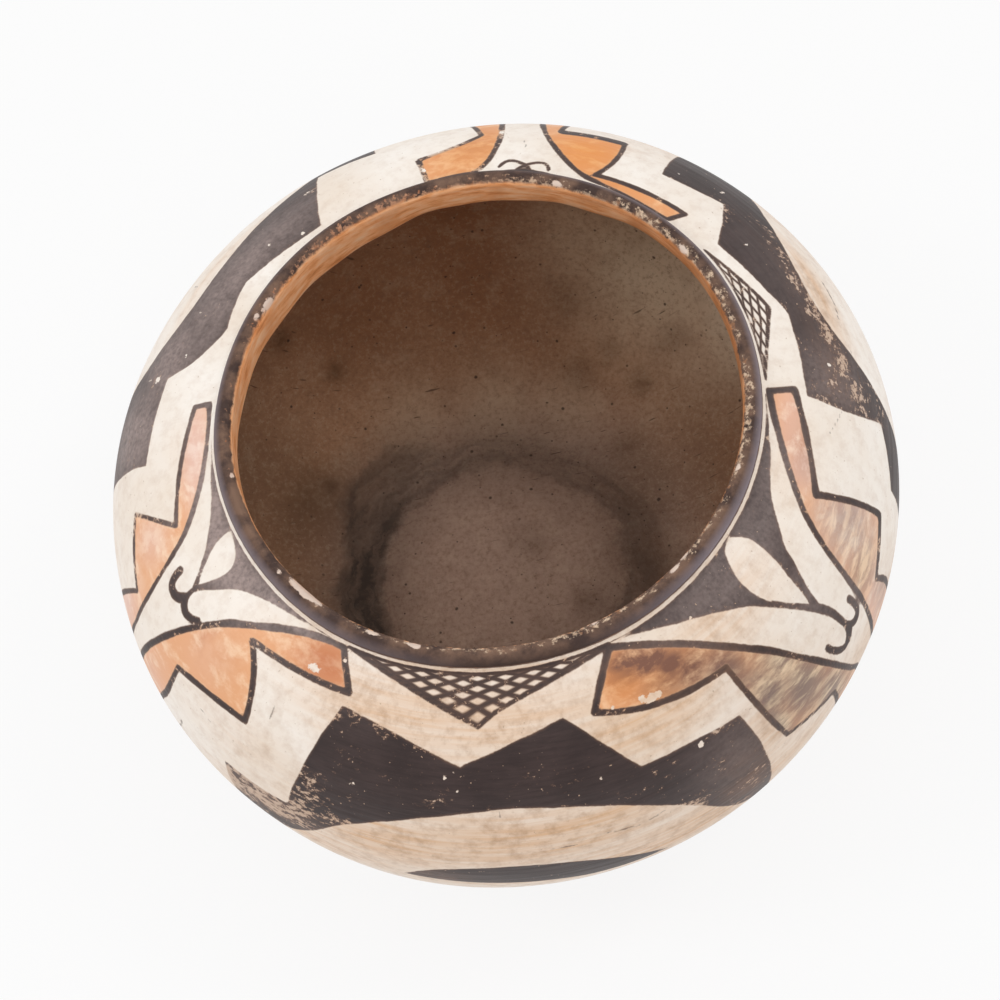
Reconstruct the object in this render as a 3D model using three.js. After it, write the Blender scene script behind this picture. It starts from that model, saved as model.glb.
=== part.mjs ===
// Painted bowl: a coil-built clay vessel under coats of slip. Millimetres, +Z up, foot on z = 0.
import * as THREE from "three";

// Overall sizes
const bodyDiameter = 248; // at the widest, over the slip
const widestHeight = 82; // of the widest circle above the ground
const totalHeight = 138;
const mouthDiameter = 166; // outside of the lip

// Lip
const lipHeight = 5; // outside, above the shoulder
const lipThickness = 5.6;
const neckDepth = 8; // inside, from the shoulder's top edge down to the lip's lower corner

// Base
const footDiameter = 104; // outer edge of the ring that the bowl rests on
const footRingWidth = 11;
const baseHollow = 5; // rise of the pushed-up base at its middle
const baseThickness = 9;

// Wall
const wallThickness = 6;
const courseCount = 10;
const bellyCentreRadius = 20; // centre of the curve from the foot to the widest circle
const bellyFullness = 2.1; // exponent of that curve, 2 being an ellipse
const shoulderCentreRadius = 58; // centre of the curve from the widest circle to the neck
const shoulderFullness = 2.2;

// Slip coats
const slipThickness = 0.5;
const slipJoinHeight = 48; // where the white slip meets the underbody slip
const bareFootHeight = 5; // bare clay below the underbody slip
const lipBandThickness = 0.4;
const lipBandTopGap = 4; // from the lip's top down to the orange band inside it

// Fineness of the mesh
const turnSegments = 48;
const stepsPerCourse = 3;
const lipRoundSteps = 6;
const baseSteps = 5;

// Sizes that follow
const clayRadius = bodyDiameter / 2 - slipThickness;
const neckRadius = mouthDiameter / 2;
const neckHeight = totalHeight - lipHeight;
const lipInnerRadius = neckRadius - lipThickness;
const footRadius = footDiameter / 2;
const lipRound = lipThickness / 2;

const clay = { color: 0x7a5f4e, roughness: 0.95, metalness: 0 };
const whiteSlip = { color: 0xe6dccb, roughness: 0.7, metalness: 0 };
const orangeSlip = { color: 0xc07a48, roughness: 0.75, metalness: 0 };
const underSlip = { color: 0xb98a62, roughness: 0.85, metalness: 0 };

// A quarter of a superellipse in the r, z plane, from the widest circle to a given end point.
class FullCurve extends THREE.Curve {
  constructor(centreRadius, fullness, end) {
    super();
    const reach = (end.x - centreRadius) / (clayRadius - centreRadius);
    this.centreRadius = centreRadius;
    this.power = 2 / fullness;
    this.lastAngle = Math.acos(reach ** (fullness / 2));
    this.rise = (end.y - widestHeight) / Math.sin(this.lastAngle) ** this.power;
  }

  getPoint(t, target = new THREE.Vector2()) {
    const angle = t * this.lastAngle;
    const r = this.centreRadius + (clayRadius - this.centreRadius) * Math.cos(angle) ** this.power;
    const z = widestHeight + this.rise * Math.sin(angle) ** this.power;
    return target.set(r, z);
  }
}

// Outside of the clay wall, as points from the foot up to the neck
const foot = new THREE.Vector2(footRadius, 0);
const neck = new THREE.Vector2(neckRadius, neckHeight);
const belly = new FullCurve(bellyCentreRadius, bellyFullness, foot);
const shoulder = new FullCurve(shoulderCentreRadius, shoulderFullness, neck);
const wallSteps = courseCount * stepsPerCourse;
const bellyShare = belly.getLength() / (belly.getLength() + shoulder.getLength());
const bellySteps = Math.round(wallSteps * bellyShare);
const outside = [
  ...belly.getSpacedPoints(bellySteps).reverse(),
  ...shoulder.getSpacedPoints(wallSteps - bellySteps).slice(1),
];

function outwardAt(step) {
  const before = outside[Math.max(step - 1, 0)];
  const after = outside[Math.min(step + 1, wallSteps)];
  return new THREE.Vector2(after.y - before.y, before.x - after.x).normalize();
}

function offsetAt(step, distance) {
  return outside[step].clone().addScaledVector(outwardAt(step), distance);
}

// Inside of the clay wall: the first course thins from the base, and the last ends at the lip's corner
function insideAt(step) {
  const thinned = Math.min(step / stepsPerCourse, 1);
  return offsetAt(step, -THREE.MathUtils.lerp(baseThickness, wallThickness, thinned));
}

const inside = outside.map((point, step) => insideAt(step));
inside[wallSteps] = new THREE.Vector2(lipInnerRadius, neckHeight - neckDepth);

// The coats begin and end at the wall's own steps, so that they lie flush on the coils
function stepNearHeight(height) {
  const misses = outside.map((point) => Math.abs(point.y - height));
  return misses.indexOf(Math.min(...misses));
}

// A ring, or a disc where the section starts on the axis, turned from its section in the r, z plane.
// A clockwise section has its faces turned outwards afterwards.
function turned(name, section, finish, clockwise = false) {
  const outline = section[0].x === 0 ? section : [...section, section[0]];
  const geometry = new THREE.LatheGeometry(outline, turnSegments);
  geometry.rotateX(Math.PI / 2);
  if (clockwise) {
    geometry.index.array.reverse();
  }
  const mesh = new THREE.Mesh(geometry, new THREE.MeshStandardMaterial(finish));
  mesh.name = name;
  return mesh;
}

// The pressed pat of clay that the coils start on: hollowed below, with a low dome inside
function basePat() {
  const ringInner = footRadius - footRingWidth;
  const domeTop = baseHollow + baseThickness;
  const rim = inside[0];
  const under = [];
  const floor = [];
  for (let i = 0; i <= baseSteps; i += 1) {
    const share = i / baseSteps;
    under.push(new THREE.Vector2(ringInner * share, baseHollow * (1 - share ** 2)));
    floor.push(new THREE.Vector2(rim.x * (1 - share), domeTop + (rim.y - domeTop) * (1 - share) ** 2));
  }
  return turned("base_pat", [...under, outside[0], ...floor], clay);
}

// A coil is pressed down over the inner edge of the one below it, so each joint slopes by one step
function innerJoint(step) {
  return step === 0 || step === wallSteps ? step : step - 1;
}

function wallCourse(course) {
  const first = course * stepsPerCourse;
  const last = first + stepsPerCourse;
  const outer = outside.slice(first, last + 1);
  const inner = inside.slice(innerJoint(first), innerJoint(last) + 1).reverse();
  const number = String(course + 1).padStart(2, "0");
  return turned(`wall_coil_${number}`, [...outer, ...inner], clay);
}

// The last coil stands upright as the lip, with a rounded top
function rimCoil() {
  const top = [];
  for (let i = 0; i <= lipRoundSteps; i += 1) {
    const angle = (Math.PI * i) / lipRoundSteps;
    const r = neckRadius - lipRound + lipRound * Math.cos(angle);
    top.push(new THREE.Vector2(r, totalHeight - lipRound + lipRound * Math.sin(angle)));
  }
  return turned("rim_coil", [outside[wallSteps], ...top, inside[wallSteps]], clay);
}

// A coat of slip on the outside of the wall, between two of its steps. Its section runs clockwise,
// so that its inner face has the same triangles as the clay that it lies on.
function slipCoat(name, first, last, finish) {
  const coat = [];
  for (let step = last; step >= first; step -= 1) {
    coat.push(offsetAt(step, slipThickness));
  }
  return turned(name, [...outside.slice(first, last + 1), ...coat], finish, true);
}

// The band of orange slip inside the lip
function lipBand() {
  const low = neckHeight - neckDepth;
  const high = totalHeight - lipBandTopGap;
  const faceRadius = lipInnerRadius - lipBandThickness;
  const section = [
    new THREE.Vector2(lipInnerRadius, low),
    new THREE.Vector2(lipInnerRadius, high),
    new THREE.Vector2(faceRadius, high),
    new THREE.Vector2(faceRadius, low),
  ];
  return turned("inner_lip_slip", section, orangeSlip);
}

const slipJoin = stepNearHeight(slipJoinHeight);
const bareFoot = stepNearHeight(bareFootHeight);

const bowl = new THREE.Group();
bowl.name = "painted_bowl";
bowl.add(basePat());
for (let course = 0; course < courseCount; course += 1) {
  bowl.add(wallCourse(course));
}
bowl.add(rimCoil());
bowl.add(slipCoat("white_slip", slipJoin, wallSteps, whiteSlip));
bowl.add(slipCoat("underbody_slip", bareFoot, slipJoin, underSlip));
bowl.add(lipBand());

export default bowl;
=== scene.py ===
import math
from functools import partial
import bpy
import numpy as np
from mathutils import Matrix, Vector


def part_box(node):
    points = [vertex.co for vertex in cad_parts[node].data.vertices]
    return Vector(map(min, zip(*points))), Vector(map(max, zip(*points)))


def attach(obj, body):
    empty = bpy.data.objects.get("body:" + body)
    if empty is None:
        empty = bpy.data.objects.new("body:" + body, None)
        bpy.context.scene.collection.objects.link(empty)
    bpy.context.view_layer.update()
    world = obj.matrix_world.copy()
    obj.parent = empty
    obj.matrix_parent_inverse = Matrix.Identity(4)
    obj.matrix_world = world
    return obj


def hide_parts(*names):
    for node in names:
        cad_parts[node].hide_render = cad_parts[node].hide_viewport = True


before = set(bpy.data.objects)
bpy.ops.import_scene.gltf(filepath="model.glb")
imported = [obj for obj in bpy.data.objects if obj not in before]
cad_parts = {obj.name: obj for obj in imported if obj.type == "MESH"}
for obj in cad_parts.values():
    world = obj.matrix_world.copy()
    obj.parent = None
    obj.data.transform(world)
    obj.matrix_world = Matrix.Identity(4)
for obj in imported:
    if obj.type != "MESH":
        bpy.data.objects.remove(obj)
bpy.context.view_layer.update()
mm = 0.001
print("frame loaded:", len(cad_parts), "nodes")


def toLinear(code):
    channels = [int(code[i:i + 2], 16) / 255 for i in (1, 3, 5)]
    return tuple(c / 12.92 if c <= 0.04045 else ((c + 0.055) / 1.055) ** 2.4 for c in channels) + (1.0,)


# one node with its links and settings; a link is another node's socket, a hex colour or a plain value
def addNode(tree, kind, links=None, settings=None, out=0):
    node = tree.nodes.new("ShaderNode" + kind)
    for name, value in (settings or {}).items():
        setattr(node, name, value)
    for key, value in (links or {}).items():
        if key in ("From", "To"):  # both ends of a range
            for end, number in zip((" Min", " Max"), value):
                node.inputs[key + end].default_value = number
        elif isinstance(value, bpy.types.NodeSocket):
            tree.links.new(value, node.inputs[key])
        else:
            node.inputs[key].default_value = toLinear(value) if isinstance(value, str) else value
    return node.outputs[out] if node.outputs else node


# settings that many nodes share
times = {"operation": "MULTIPLY"}
timesClamped = {"operation": "MULTIPLY", "use_clamp": True}
timesPlus = {"operation": "MULTIPLY_ADD"}
plus = {"operation": "ADD"}
minus = {"operation": "SUBTRACT"}
larger = {"operation": "MAXIMUM"}
smaller = {"operation": "MINIMUM"}
dot = {"operation": "DOT_PRODUCT"}
blend = {"data_type": "RGBA"}
smooth = {"interpolation_type": "SMOOTHSTEP"}


def newMaterial(name):
    material = bpy.data.materials.new(name)
    material.use_nodes = True
    material.node_tree.nodes.clear()
    return material, partial(addNode, material.node_tree)


# noise drawn out round the bowl: its breadth and height in millimetres, then the look of it
def longNoise(add, place, broad, high, look):
    stretched = add("Mapping", {"Vector": place, "Scale": (1 / broad, 1 / broad, 1 / high)})
    return add("TexNoise", {"Vector": stretched, "Scale": 1.0, **look})


# the surface of clay or slip; strength and depth in metres are those of its relief
def bareSurface(add, colour, rough, height, strength, depth):
    relief = add("Bump", {"Strength": strength, "Distance": depth, "Height": height})
    shader = add("BsdfPrincipled", {"Base Color": colour, "Roughness": rough, "Normal": relief, "IOR": 1.5})
    add("OutputMaterial", {"Surface": shader})


# the bowl's section, in millimetres from the axis and from the ground
bowl = {
    "bodyRadius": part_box("white_slip")[1].x / mm,
    "height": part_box("rim_coil")[1].z / mm,
    "mouthRadius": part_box("rim_coil")[1].x / mm,
    "footRadius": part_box("base_pat")[1].x / mm,
    "widestHeight": 82,
    "lipHeight": 5,
    "lipThickness": 5.6,
    "neckDepth": 8,
    "wall": 6,
    "baseWall": 9,
    "footRingWidth": 11,
    "baseHollow": 5,
    "slip": 0.5,  # thickness of the slip coats
    "slipGap": 0.04,  # keeps a coat's back clear of the clay
    "slipJoin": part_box("white_slip")[0].z / mm,
    "bareFoot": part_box("underbody_slip")[0].z / mm,
    "bellyCentre": 20,
    "bellyFullness": 2.1,
    "shoulderCentre": 58,
    "shoulderFullness": 2.2,
    "neckFillet": 3.2,  # how far the rounded neck runs on to the shoulder
    "slipTaper": 3,  # over which a coat thins out to its edge
    "slipTopEdge": 0.05,
    "slipFootEdge": 0.06,
    "fineNeck": 6,  # rows lie closer from the lip down to here
    "finePaint": 62,  # and the painted face has finer rows down to here
}
neckHeight = bowl["height"] - bowl["lipHeight"]
lipRound = bowl["lipThickness"] / 2
lipInner = bowl["mouthRadius"] - bowl["lipThickness"]

# rows of points along each stretch of the section, and steps round the bowl
rowCount = {
    "quarter": 600, "neck": 24, "lipRound": 13, "lipFace": 7, "insideCorner": 9, "insideWall": 64,
    "floor": 22, "hollow": 9, "bareFoot": 5, "neckBack": 15, "wallBack": 17, "underBack": 12,
    "shoulderFace": 70, "lowerFace": 31, "underFace": 40,
}
stepCount = {"plain": 360, "painted": 720}


# a quarter of a superellipse from the widest circle to an end point
def fullCurve(centre, fullness, endRadius, endHeight):
    clayRadius = bowl["bodyRadius"] - bowl["slip"]
    power = 2 / fullness
    last = math.acos(((endRadius - centre) / (clayRadius - centre)) ** (fullness / 2))
    rise = (endHeight - bowl["widestHeight"]) / math.sin(last) ** power
    angle = np.linspace(0, last, rowCount["quarter"])
    r = centre + (clayRadius - centre) * np.cos(angle) ** power
    return r, bowl["widestHeight"] + rise * np.sin(angle) ** power


# outside of the clay from the lip down to the foot; down is 0 at the neck and grows towards the foot
def outsideLine():
    shoulder = fullCurve(bowl["shoulderCentre"], bowl["shoulderFullness"], bowl["mouthRadius"], neckHeight)
    belly = fullCurve(bowl["bellyCentre"], bowl["bellyFullness"], bowl["footRadius"], 0)
    r = np.r_[shoulder[0][::-1], belly[0][1:]]
    z = np.r_[shoulder[1][::-1], belly[1][1:]]
    down = np.r_[0, np.cumsum(np.hypot(np.diff(r), np.diff(z)))]
    fillet = bowl["neckFillet"]
    lipFoot = bowl["height"] - lipRound
    endR, endZ = np.interp(fillet, down, r), np.interp(fillet, down, z)
    t = np.linspace(0, 1, rowCount["neck"])[:-1]
    neckR = (1 - t) ** 2 * bowl["mouthRadius"] + 2 * t * (1 - t) * bowl["mouthRadius"] + t ** 2 * endR
    neckZ = (1 - t) ** 2 * lipFoot + 2 * t * (1 - t) * neckHeight + t ** 2 * endZ
    neckDown = -(lipFoot - neckHeight) + t * (fillet + lipFoot - neckHeight)
    keep = down >= fillet
    return np.r_[neckDown, down[keep]], np.r_[neckR, r[keep]], np.r_[neckZ, z[keep]]


wallDown, wallR, wallZ = outsideLine()
slopeR = np.gradient(wallR, wallDown)
slopeZ = np.gradient(wallZ, wallDown)
lipDown = wallDown[0]  # where the lip's round begins
joinDown = float(np.interp(-bowl["slipJoin"], -wallZ, wallDown))
bareDown = float(np.interp(-bowl["bareFoot"], -wallZ, wallDown))
footDown = wallDown[-1]


# a point of the section, away from the clay's outside by some thickness
def wallPoint(down, away=0.0):
    r, z = np.interp(down, wallDown, wallR), np.interp(down, wallDown, wallZ)
    outR, outZ = -np.interp(down, wallDown, slopeZ), np.interp(down, wallDown, slopeR)
    size = math.hypot(outR, outZ)
    return float(r + away * outR / size), float(z + away * outZ / size)


# the inside under the lip's round, in millimetres
insideShape = {
    "faceStart": 1,  # below the round
    "cornerRise": 3.2,  # height of the rounded corner under the lip's face
    "cornerPull": (-0.3, -0.4),  # the bend's middle point, from the sharp corner
    "cornerEnd": (4.4, 0.1),  # from the sharp corner too
    "cornerLength": 7,
    "wallStart": 9,  # down from the neck
    "footBlend": 20,  # over which the wall thickens to the base
}


# inside of the clay: lip face, rounded corner, wall, then the domed floor; down goes on below zero
def insideLine():
    points = []
    faceTop = bowl["height"] - lipRound
    cornerZ = neckHeight - bowl["neckDepth"]
    cornerTop = cornerZ + insideShape["cornerRise"]
    topDown = lipDown - math.pi * lipRound
    for z in np.linspace(faceTop - insideShape["faceStart"], cornerTop, rowCount["lipFace"]):
        points.append((lipInner, float(z), topDown - (faceTop - float(z))))
    cornerDown = points[-1][2]
    pullR, pullZ = insideShape["cornerPull"]
    endR, endZ = insideShape["cornerEnd"]
    for t in np.linspace(0, 1, rowCount["insideCorner"])[1:]:
        r = (1 - t) ** 2 * lipInner + 2 * t * (1 - t) * (lipInner + pullR) + t ** 2 * (lipInner + endR)
        z = (1 - t) ** 2 * cornerTop + 2 * t * (1 - t) * (cornerZ + pullZ) + t ** 2 * (cornerZ + endZ)
        points.append((float(r), float(z), cornerDown - t * insideShape["cornerLength"]))
    lastR, lastZ, along = points[-1]
    wallPoints = []
    reach = insideShape["footBlend"]
    for down in np.linspace(insideShape["wallStart"], footDown, rowCount["insideWall"]):
        nearFoot = np.clip((down - (footDown - reach)) / reach, 0, 1)
        wallPoints.append(wallPoint(down, -(bowl["wall"] + (bowl["baseWall"] - bowl["wall"]) * nearFoot)))
    rimR, rimZ = wallPoints[-1]
    domeZ = bowl["baseHollow"] + bowl["baseWall"]
    for share in np.linspace(0, 1, rowCount["floor"])[1:]:
        wallPoints.append((rimR * (1 - share), domeZ + (rimZ - domeZ) * (1 - share) ** 2))
    for r, z in wallPoints:
        along -= math.hypot(r - lastR, z - lastZ)
        points.append((float(r), float(z), along))
        lastR, lastZ = r, z
    return points


# rows of the clay's outside, which the backs of the coats share
coatRows = list(np.linspace(lipDown, bowl["fineNeck"], rowCount["neckBack"]))
coatRows += list(np.linspace(bowl["fineNeck"], joinDown, rowCount["wallBack"]))[1:]
underRows = list(np.linspace(joinDown, bareDown, rowCount["underBack"]))

drawing = {  # metres
    "seed": 0.001,  # the small plane that is merged to the first vertex
    "weld": 0.000005,  # points closer than this are one
}
chunk = 20000  # vertices that are compared with the section at a time
placeRadius = 100  # millimetres, between the bowl's mouth and its widest line


# a section drawn point by point with one vertex, then spun round the axis
def turnPiece(name, section, steps):
    bpy.ops.object.select_all(action="DESELECT")
    bpy.ops.mesh.primitive_plane_add(size=drawing["seed"], location=(0, 0, 0))
    piece = bpy.context.object
    piece.name = name
    piece.data.name = name
    bpy.ops.object.mode_set(mode="EDIT")
    bpy.ops.mesh.select_all(action="SELECT")
    bpy.ops.mesh.merge(type="CENTER")
    lastR, lastZ = section[0][:2]
    bpy.ops.transform.translate(value=(lastR * mm, 0, lastZ * mm))
    for r, z, _ in section[1:]:
        step = ((r - lastR) * mm, 0, (z - lastZ) * mm)
        bpy.ops.mesh.extrude_vertices_move(TRANSFORM_OT_translate={"value": step})
        lastR, lastZ = r, z
    bpy.ops.mesh.select_all(action="SELECT")
    bpy.ops.mesh.spin(steps=steps, angle=2 * math.pi, center=(0, 0, 0), axis=(0, 0, 1))
    bpy.ops.mesh.select_all(action="SELECT")
    bpy.ops.mesh.remove_doubles(threshold=drawing["weld"])
    bpy.ops.mesh.normals_make_consistent(inside=False)
    bpy.ops.object.mode_set(mode="OBJECT")
    bpy.ops.object.shade_smooth()
    return piece


def meshPoints(piece):
    flat = np.zeros(len(piece.data.vertices) * 3)
    piece.data.vertices.foreach_get("co", flat)
    return flat.reshape(-1, 3) / mm


# around (degrees, 0 at the front, + to the right) and down (millimetres along the section) of each vertex
def surfacePlace(piece, section):
    points = meshPoints(piece)
    radius = np.hypot(points[:, 0], points[:, 1])
    around = np.degrees(np.arctan2(points[:, 0], -points[:, 1]))
    table = np.array(section)
    down = np.zeros(len(points))
    for start in range(0, len(points), chunk):
        part = slice(start, start + chunk)
        miss = np.hypot(radius[part, None] - table[None, :, 0], points[part, 2, None] - table[None, :, 1])
        down[part] = table[np.argmin(miss, axis=1), 2]
    return around, down, radius


def storeNumbers(piece, name, values):
    data = piece.data.attributes.new(name, "FLOAT", "POINT").data
    data.foreach_set("value", np.asarray(values, np.float32))


# place: a seamless stand-in for the surface in millimetres, used by every brushed or worn pattern
def storePlace(piece, around, down):
    turn = np.radians(around)
    place = np.stack([placeRadius * np.sin(turn), -placeRadius * np.cos(turn), down], axis=1)
    data = piece.data.attributes.new("place", "FLOAT_VECTOR", "POINT").data
    data.foreach_set("vector", place.astype(np.float32).ravel())
    storeNumbers(piece, "down", down)


# how far the hand-built bowl strays from a turned one; a wave is its share, lobes, twist per mm and start
hand = {
    "lean": (0.52, 1.56),  # millimetres sideways at the neck
    "tilt": (0.0036, -0.0177),  # slope of the mouth
    "oval": (-0.0071, 0.0054),
    "swell": 0.3,  # soft bumps of the wall
    "swellWaves": [(0.6, 3, 0.045, 0.7), (0.4, 7, -0.06, 2.1)],
    "swellHeight": 20,  # full from here up
    "lipWave": 0.35,
    "lipWaves": [(0.6, 2, 0, 0.4), (0.5, 5, 0, 1.9), (0.35, 11, 0, 0.5)],
    "lipStart": (124, 12),  # height where the lip begins, and over which it grows uneven
    "insideWave": 0.45,  # finger marks inside
    "fingerWaves": [(1, 9, 0.33, 0)],
    "fingerBend": (0.24, 2, 3),  # twist per mm, bend and its lobes
    "fineWaves": [(0.6, 17, -0.21, 1.3)],
    "fingerStart": (-22, 10),  # down where the marks begin, and over which they grow
    "calmFloor": 30,  # radius within which they die out
    "corner": (-19, 6, 100),  # lower edge of the inner lip: down, reach, and the height above which it lies
    "cornerSag": [(-150, 26, 2.6), (-112, 20, 1.2), (178, 15, -1.4), (125, 26, -4.8), (92, 24, -3.0)],
    "cornerWave": 0.45,  # fingertip scallops along that edge
    "scallops": [(1, 13, 0, 0.8)],
    "scallopBend": (0.8, 19, 2, 2),  # share, lobes, bend and its lobes
    "lipChips": [(-27, -8.5, 2.6), (-56, -8.5, 4), (-51, -8.6, 3.6), (8, -9.2, 2.4), (118, -9, 2.2)],
    "chipDepth": 0.55,
    "axis": 0.001,  # least radius, so that nothing is divided by zero
}


def waves(parts, turn, along):
    return sum(share * np.sin(lobes * turn + twist * along + start) for share, lobes, twist, start in parts)


# degrees from one place round the bowl to another, the short way
def turnApart(around, other):
    return (around - other + 180) % 360 - 180


def handShape(piece, around, down):
    points = meshPoints(piece)
    turn = np.radians(around)
    radius = np.maximum(np.hypot(points[:, 0], points[:, 1]), hand["axis"])
    level = points[:, 2]
    grow = hand["swell"] * waves(hand["swellWaves"], turn, level)
    grow *= np.clip(level / hand["swellHeight"], 0, 1)
    twist, bend, lobes = hand["fingerBend"]
    marks = waves(hand["fingerWaves"], turn, down) * np.sin(twist * down + bend * np.sin(lobes * turn))
    marks += waves(hand["fineWaves"], turn, down)
    start, reach = hand["fingerStart"]
    fade = np.clip((start - down) / reach, 0, 1) * np.clip(radius / hand["calmFloor"], 0, 1)
    grow += hand["insideWave"] * marks * fade
    points[:, 0] += grow * points[:, 0] / radius
    points[:, 1] += grow * points[:, 1] / radius
    lipLevel, lipReach = hand["lipStart"]
    lipShare = np.clip((level - lipLevel) / lipReach, 0, 1)
    points[:, 2] += hand["lipWave"] * waves(hand["lipWaves"], turn, level) * lipShare
    cornerDown, cornerReach, cornerLevel = hand["corner"]
    corner = np.exp(-((down - cornerDown) / cornerReach) ** 2) * (level > cornerLevel)
    share, lobes, bend, bendLobes = hand["scallopBend"]
    bent = share * np.sin(lobes * turn + bend * np.sin(bendLobes * turn))
    scallops = waves(hand["scallops"], turn, level) + bent
    points[:, 2] -= hand["cornerWave"] * scallops * corner
    for sagAround, sagWidth, drop in hand["cornerSag"]:
        points[:, 2] -= drop * np.exp(-(turnApart(around, sagAround) / sagWidth) ** 2) * corner
    for chipAround, chipDown, chipSize in hand["lipChips"]:
        across = np.radians(around - chipAround) * bowl["mouthRadius"]
        dent = hand["chipDepth"] * np.exp(-(across ** 2 + (down - chipDown) ** 2) / chipSize ** 2)
        points[:, 2] -= dent * lipShare
    high = np.maximum(points[:, 2] - bowl["widestHeight"], 0) / (neckHeight - bowl["widestHeight"])
    x = points[:, 0] + hand["lean"][0] * high
    y = points[:, 1] + hand["lean"][1] * high
    points[:, 2] += high * (hand["tilt"][0] * x + hand["tilt"][1] * y)
    points[:, 0] = x * (1 + hand["oval"][0]) + y * hand["oval"][1]
    points[:, 1] = y * (1 - hand["oval"][0]) + x * hand["oval"][1]
    piece.data.vertices.foreach_set("co", (points * mm).ravel())
    piece.data.update()


# The painting. Every outline is in degrees round the bowl (0 in front, + to the right) and millimetres
# down from the neck. A run of points is one smooth brush edge, and runs meet at corners.
bands = {  # broad black bands with stepped tops and an arch below
    "front": [
        [(-37.5, 17), (-28, 20), (-16.5, 27.5)],
        [(-16.5, 27.5), (-8, 21), (1, 16.5)],
        [(1, 16.5), (5, 24), (10.5, 37.5)],
        [(10.5, 37.5), (18, 38), (27, 40)],
        [(27, 40), (28.7, 66), (29, 99)],
        [(29, 99), (24, 86), (16.5, 63), (7, 48.5), (-4, 42), (-11, 41), (-23, 45.5), (-34, 56), (-40, 69),
         (-46, 84), (-53, 99)],
        [(-53, 99), (-54, 78), (-54.5, 58.5)],
        [(-54.5, 58.5), (-43, 58.5)],
        [(-43, 58.5), (-41, 38), (-37.5, 17)],
    ],
    "right": [
        [(80, 14.5), (89, 14.2), (97, 15)],
        [(97, 15), (106, 10), (116, 7)],
        [(116, 7), (119.5, 14), (123.5, 23)],
        [(123.5, 23), (129, 20), (135.5, 18.5)],
        [(135.5, 18.5), (138, 46), (139, 99)],
        [(139, 99), (131.5, 72), (125.5, 48), (118, 35), (105, 27), (95, 29.5), (87, 42), (83, 54),
         (79, 74), (72.5, 99)],
        [(72.5, 99), (71.5, 76), (71.5, 53.5)],
        [(71.5, 53.5), (80.3, 46)],
        [(80.3, 46), (79, 28), (80, 14.5)],
    ],
    "left": [
        [(-154.5, 4), (-146, 5.5), (-136, 9.5)],
        [(-136, 9.5), (-131, 8), (-125, 5.5)],
        [(-125, 5.5), (-118, 12), (-114.5, 22.5)],
        [(-114.5, 22.5), (-107, 24), (-99, 26.5)],
        [(-99, 26.5), (-101, 52), (-101.5, 99)],
        [(-101.5, 99), (-109, 74), (-115, 52), (-118, 39), (-126, 28.5), (-135, 26), (-148, 29.5),
         (-159, 37), (-164, 50), (-167, 74), (-172, 99)],
        [(-172, 99), (-172.5, 64), (-171.5, 31.5)],
        [(-171.5, 31.5), (-161.5, 36)],
        [(-161.5, 36), (-158.5, 20), (-154.5, 4)],
    ],
}

lowerLeaf = [  # black leaf under each band's arch, as it stands under the front one
    [(-26.5, 80.4), (-20.5, 70), (-9, 66.8), (0, 71), (12, 88.5)],
    [(12, 88.5), (2, 88.5), (-7, 84), (-16, 81.5), (-26.5, 80.4)],
]
lowerLeafMoves = {"front": (0, 0), "right": (112, -5), "left": (-126, -8)}

corners = {  # black corners that hang from the neck, each round a white leaf
    "frontRight": [
        [(13, 0.5), (25, 5.5), (37.1, 15.8), (41.3, 23.6), (45.3, 34), (47.1, 41)],
        [(47.1, 41), (47.3, 33.9), (47.9, 28.7), (49.8, 20.8), (51.4, 15.5), (58, 7), (67, 3.4), (79, 0.6)],
        [(79, 0.6), (46, 0.35), (13, 0.5)],
    ],
    "frontLeft": [
        [(-100, 0.5), (-90, 2.3), (-82, 6), (-76.4, 13), (-73, 22.5)],
        [(-73, 22.5), (-70.2, 15), (-65.6, 7.5), (-57, 2.8), (-44, 0.5)],
        [(-44, 0.5), (-73, 0.35), (-100, 0.5)],
    ],
    "back": [
        [(144, 0.8), (154, 1.3), (160.7, 3)],
        [(160.7, 3), (165, 1.4), (171, 0.8)],
        [(171, 0.8), (158, 0.5), (144, 0.8)],
    ],
}

leaves = {
    "frontRight": [
        [(46, 1.2), (48.2, 6), (47.8, 15.6), (46.7, 25), (46.2, 32.6)],
        [(46.2, 32.6), (43.7, 27), (41.4, 20.5), (40.5, 12.5), (42.5, 4), (46, 1.2)],
    ],
    "frontLeft": [
        [(-77.8, 1.4), (-77.2, 7), (-74.9, 13.5), (-73, 18)],
        [(-73, 18), (-71.3, 12), (-70.8, 7), (-73, 3), (-77.8, 1.4)],
    ],
}

curls = [  # width, then the stroke
    (1.9, [(41.7, 22.7), (43.5, 27.4), (46.2, 34.2)]),
    (2.5, [(46.2, 34.3), (47.8, 40.7), (48.4, 46.4), (49, 51), (50.7, 53.1), (51.8, 51.6), (51.9, 48.3),
           (51.6, 45.2)]),
    (3.4, [(48.8, 50.6), (48.5, 53.2), (47.8, 54.8)]),
    (2.3, [(44, 47.6), (45, 52), (46.6, 55.2), (47.9, 54.8)]),
    (1.7, [(-73, 19), (-73, 25)]),
    (3.0, [(-73.3, 25), (-75, 27.4), (-76.8, 26.6), (-77.5, 21.8)]),
    (2.6, [(-73, 24.5), (-71.4, 27.0), (-69.8, 26.6), (-68.4, 25)]),
    (1.2, [(155.5, 3.2), (157, 6.2), (160, 5), (162.2, 2)]),
    (1.2, [(166, 3.5), (164, 6.4), (161.2, 5), (159.4, 2)]),
]

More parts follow.
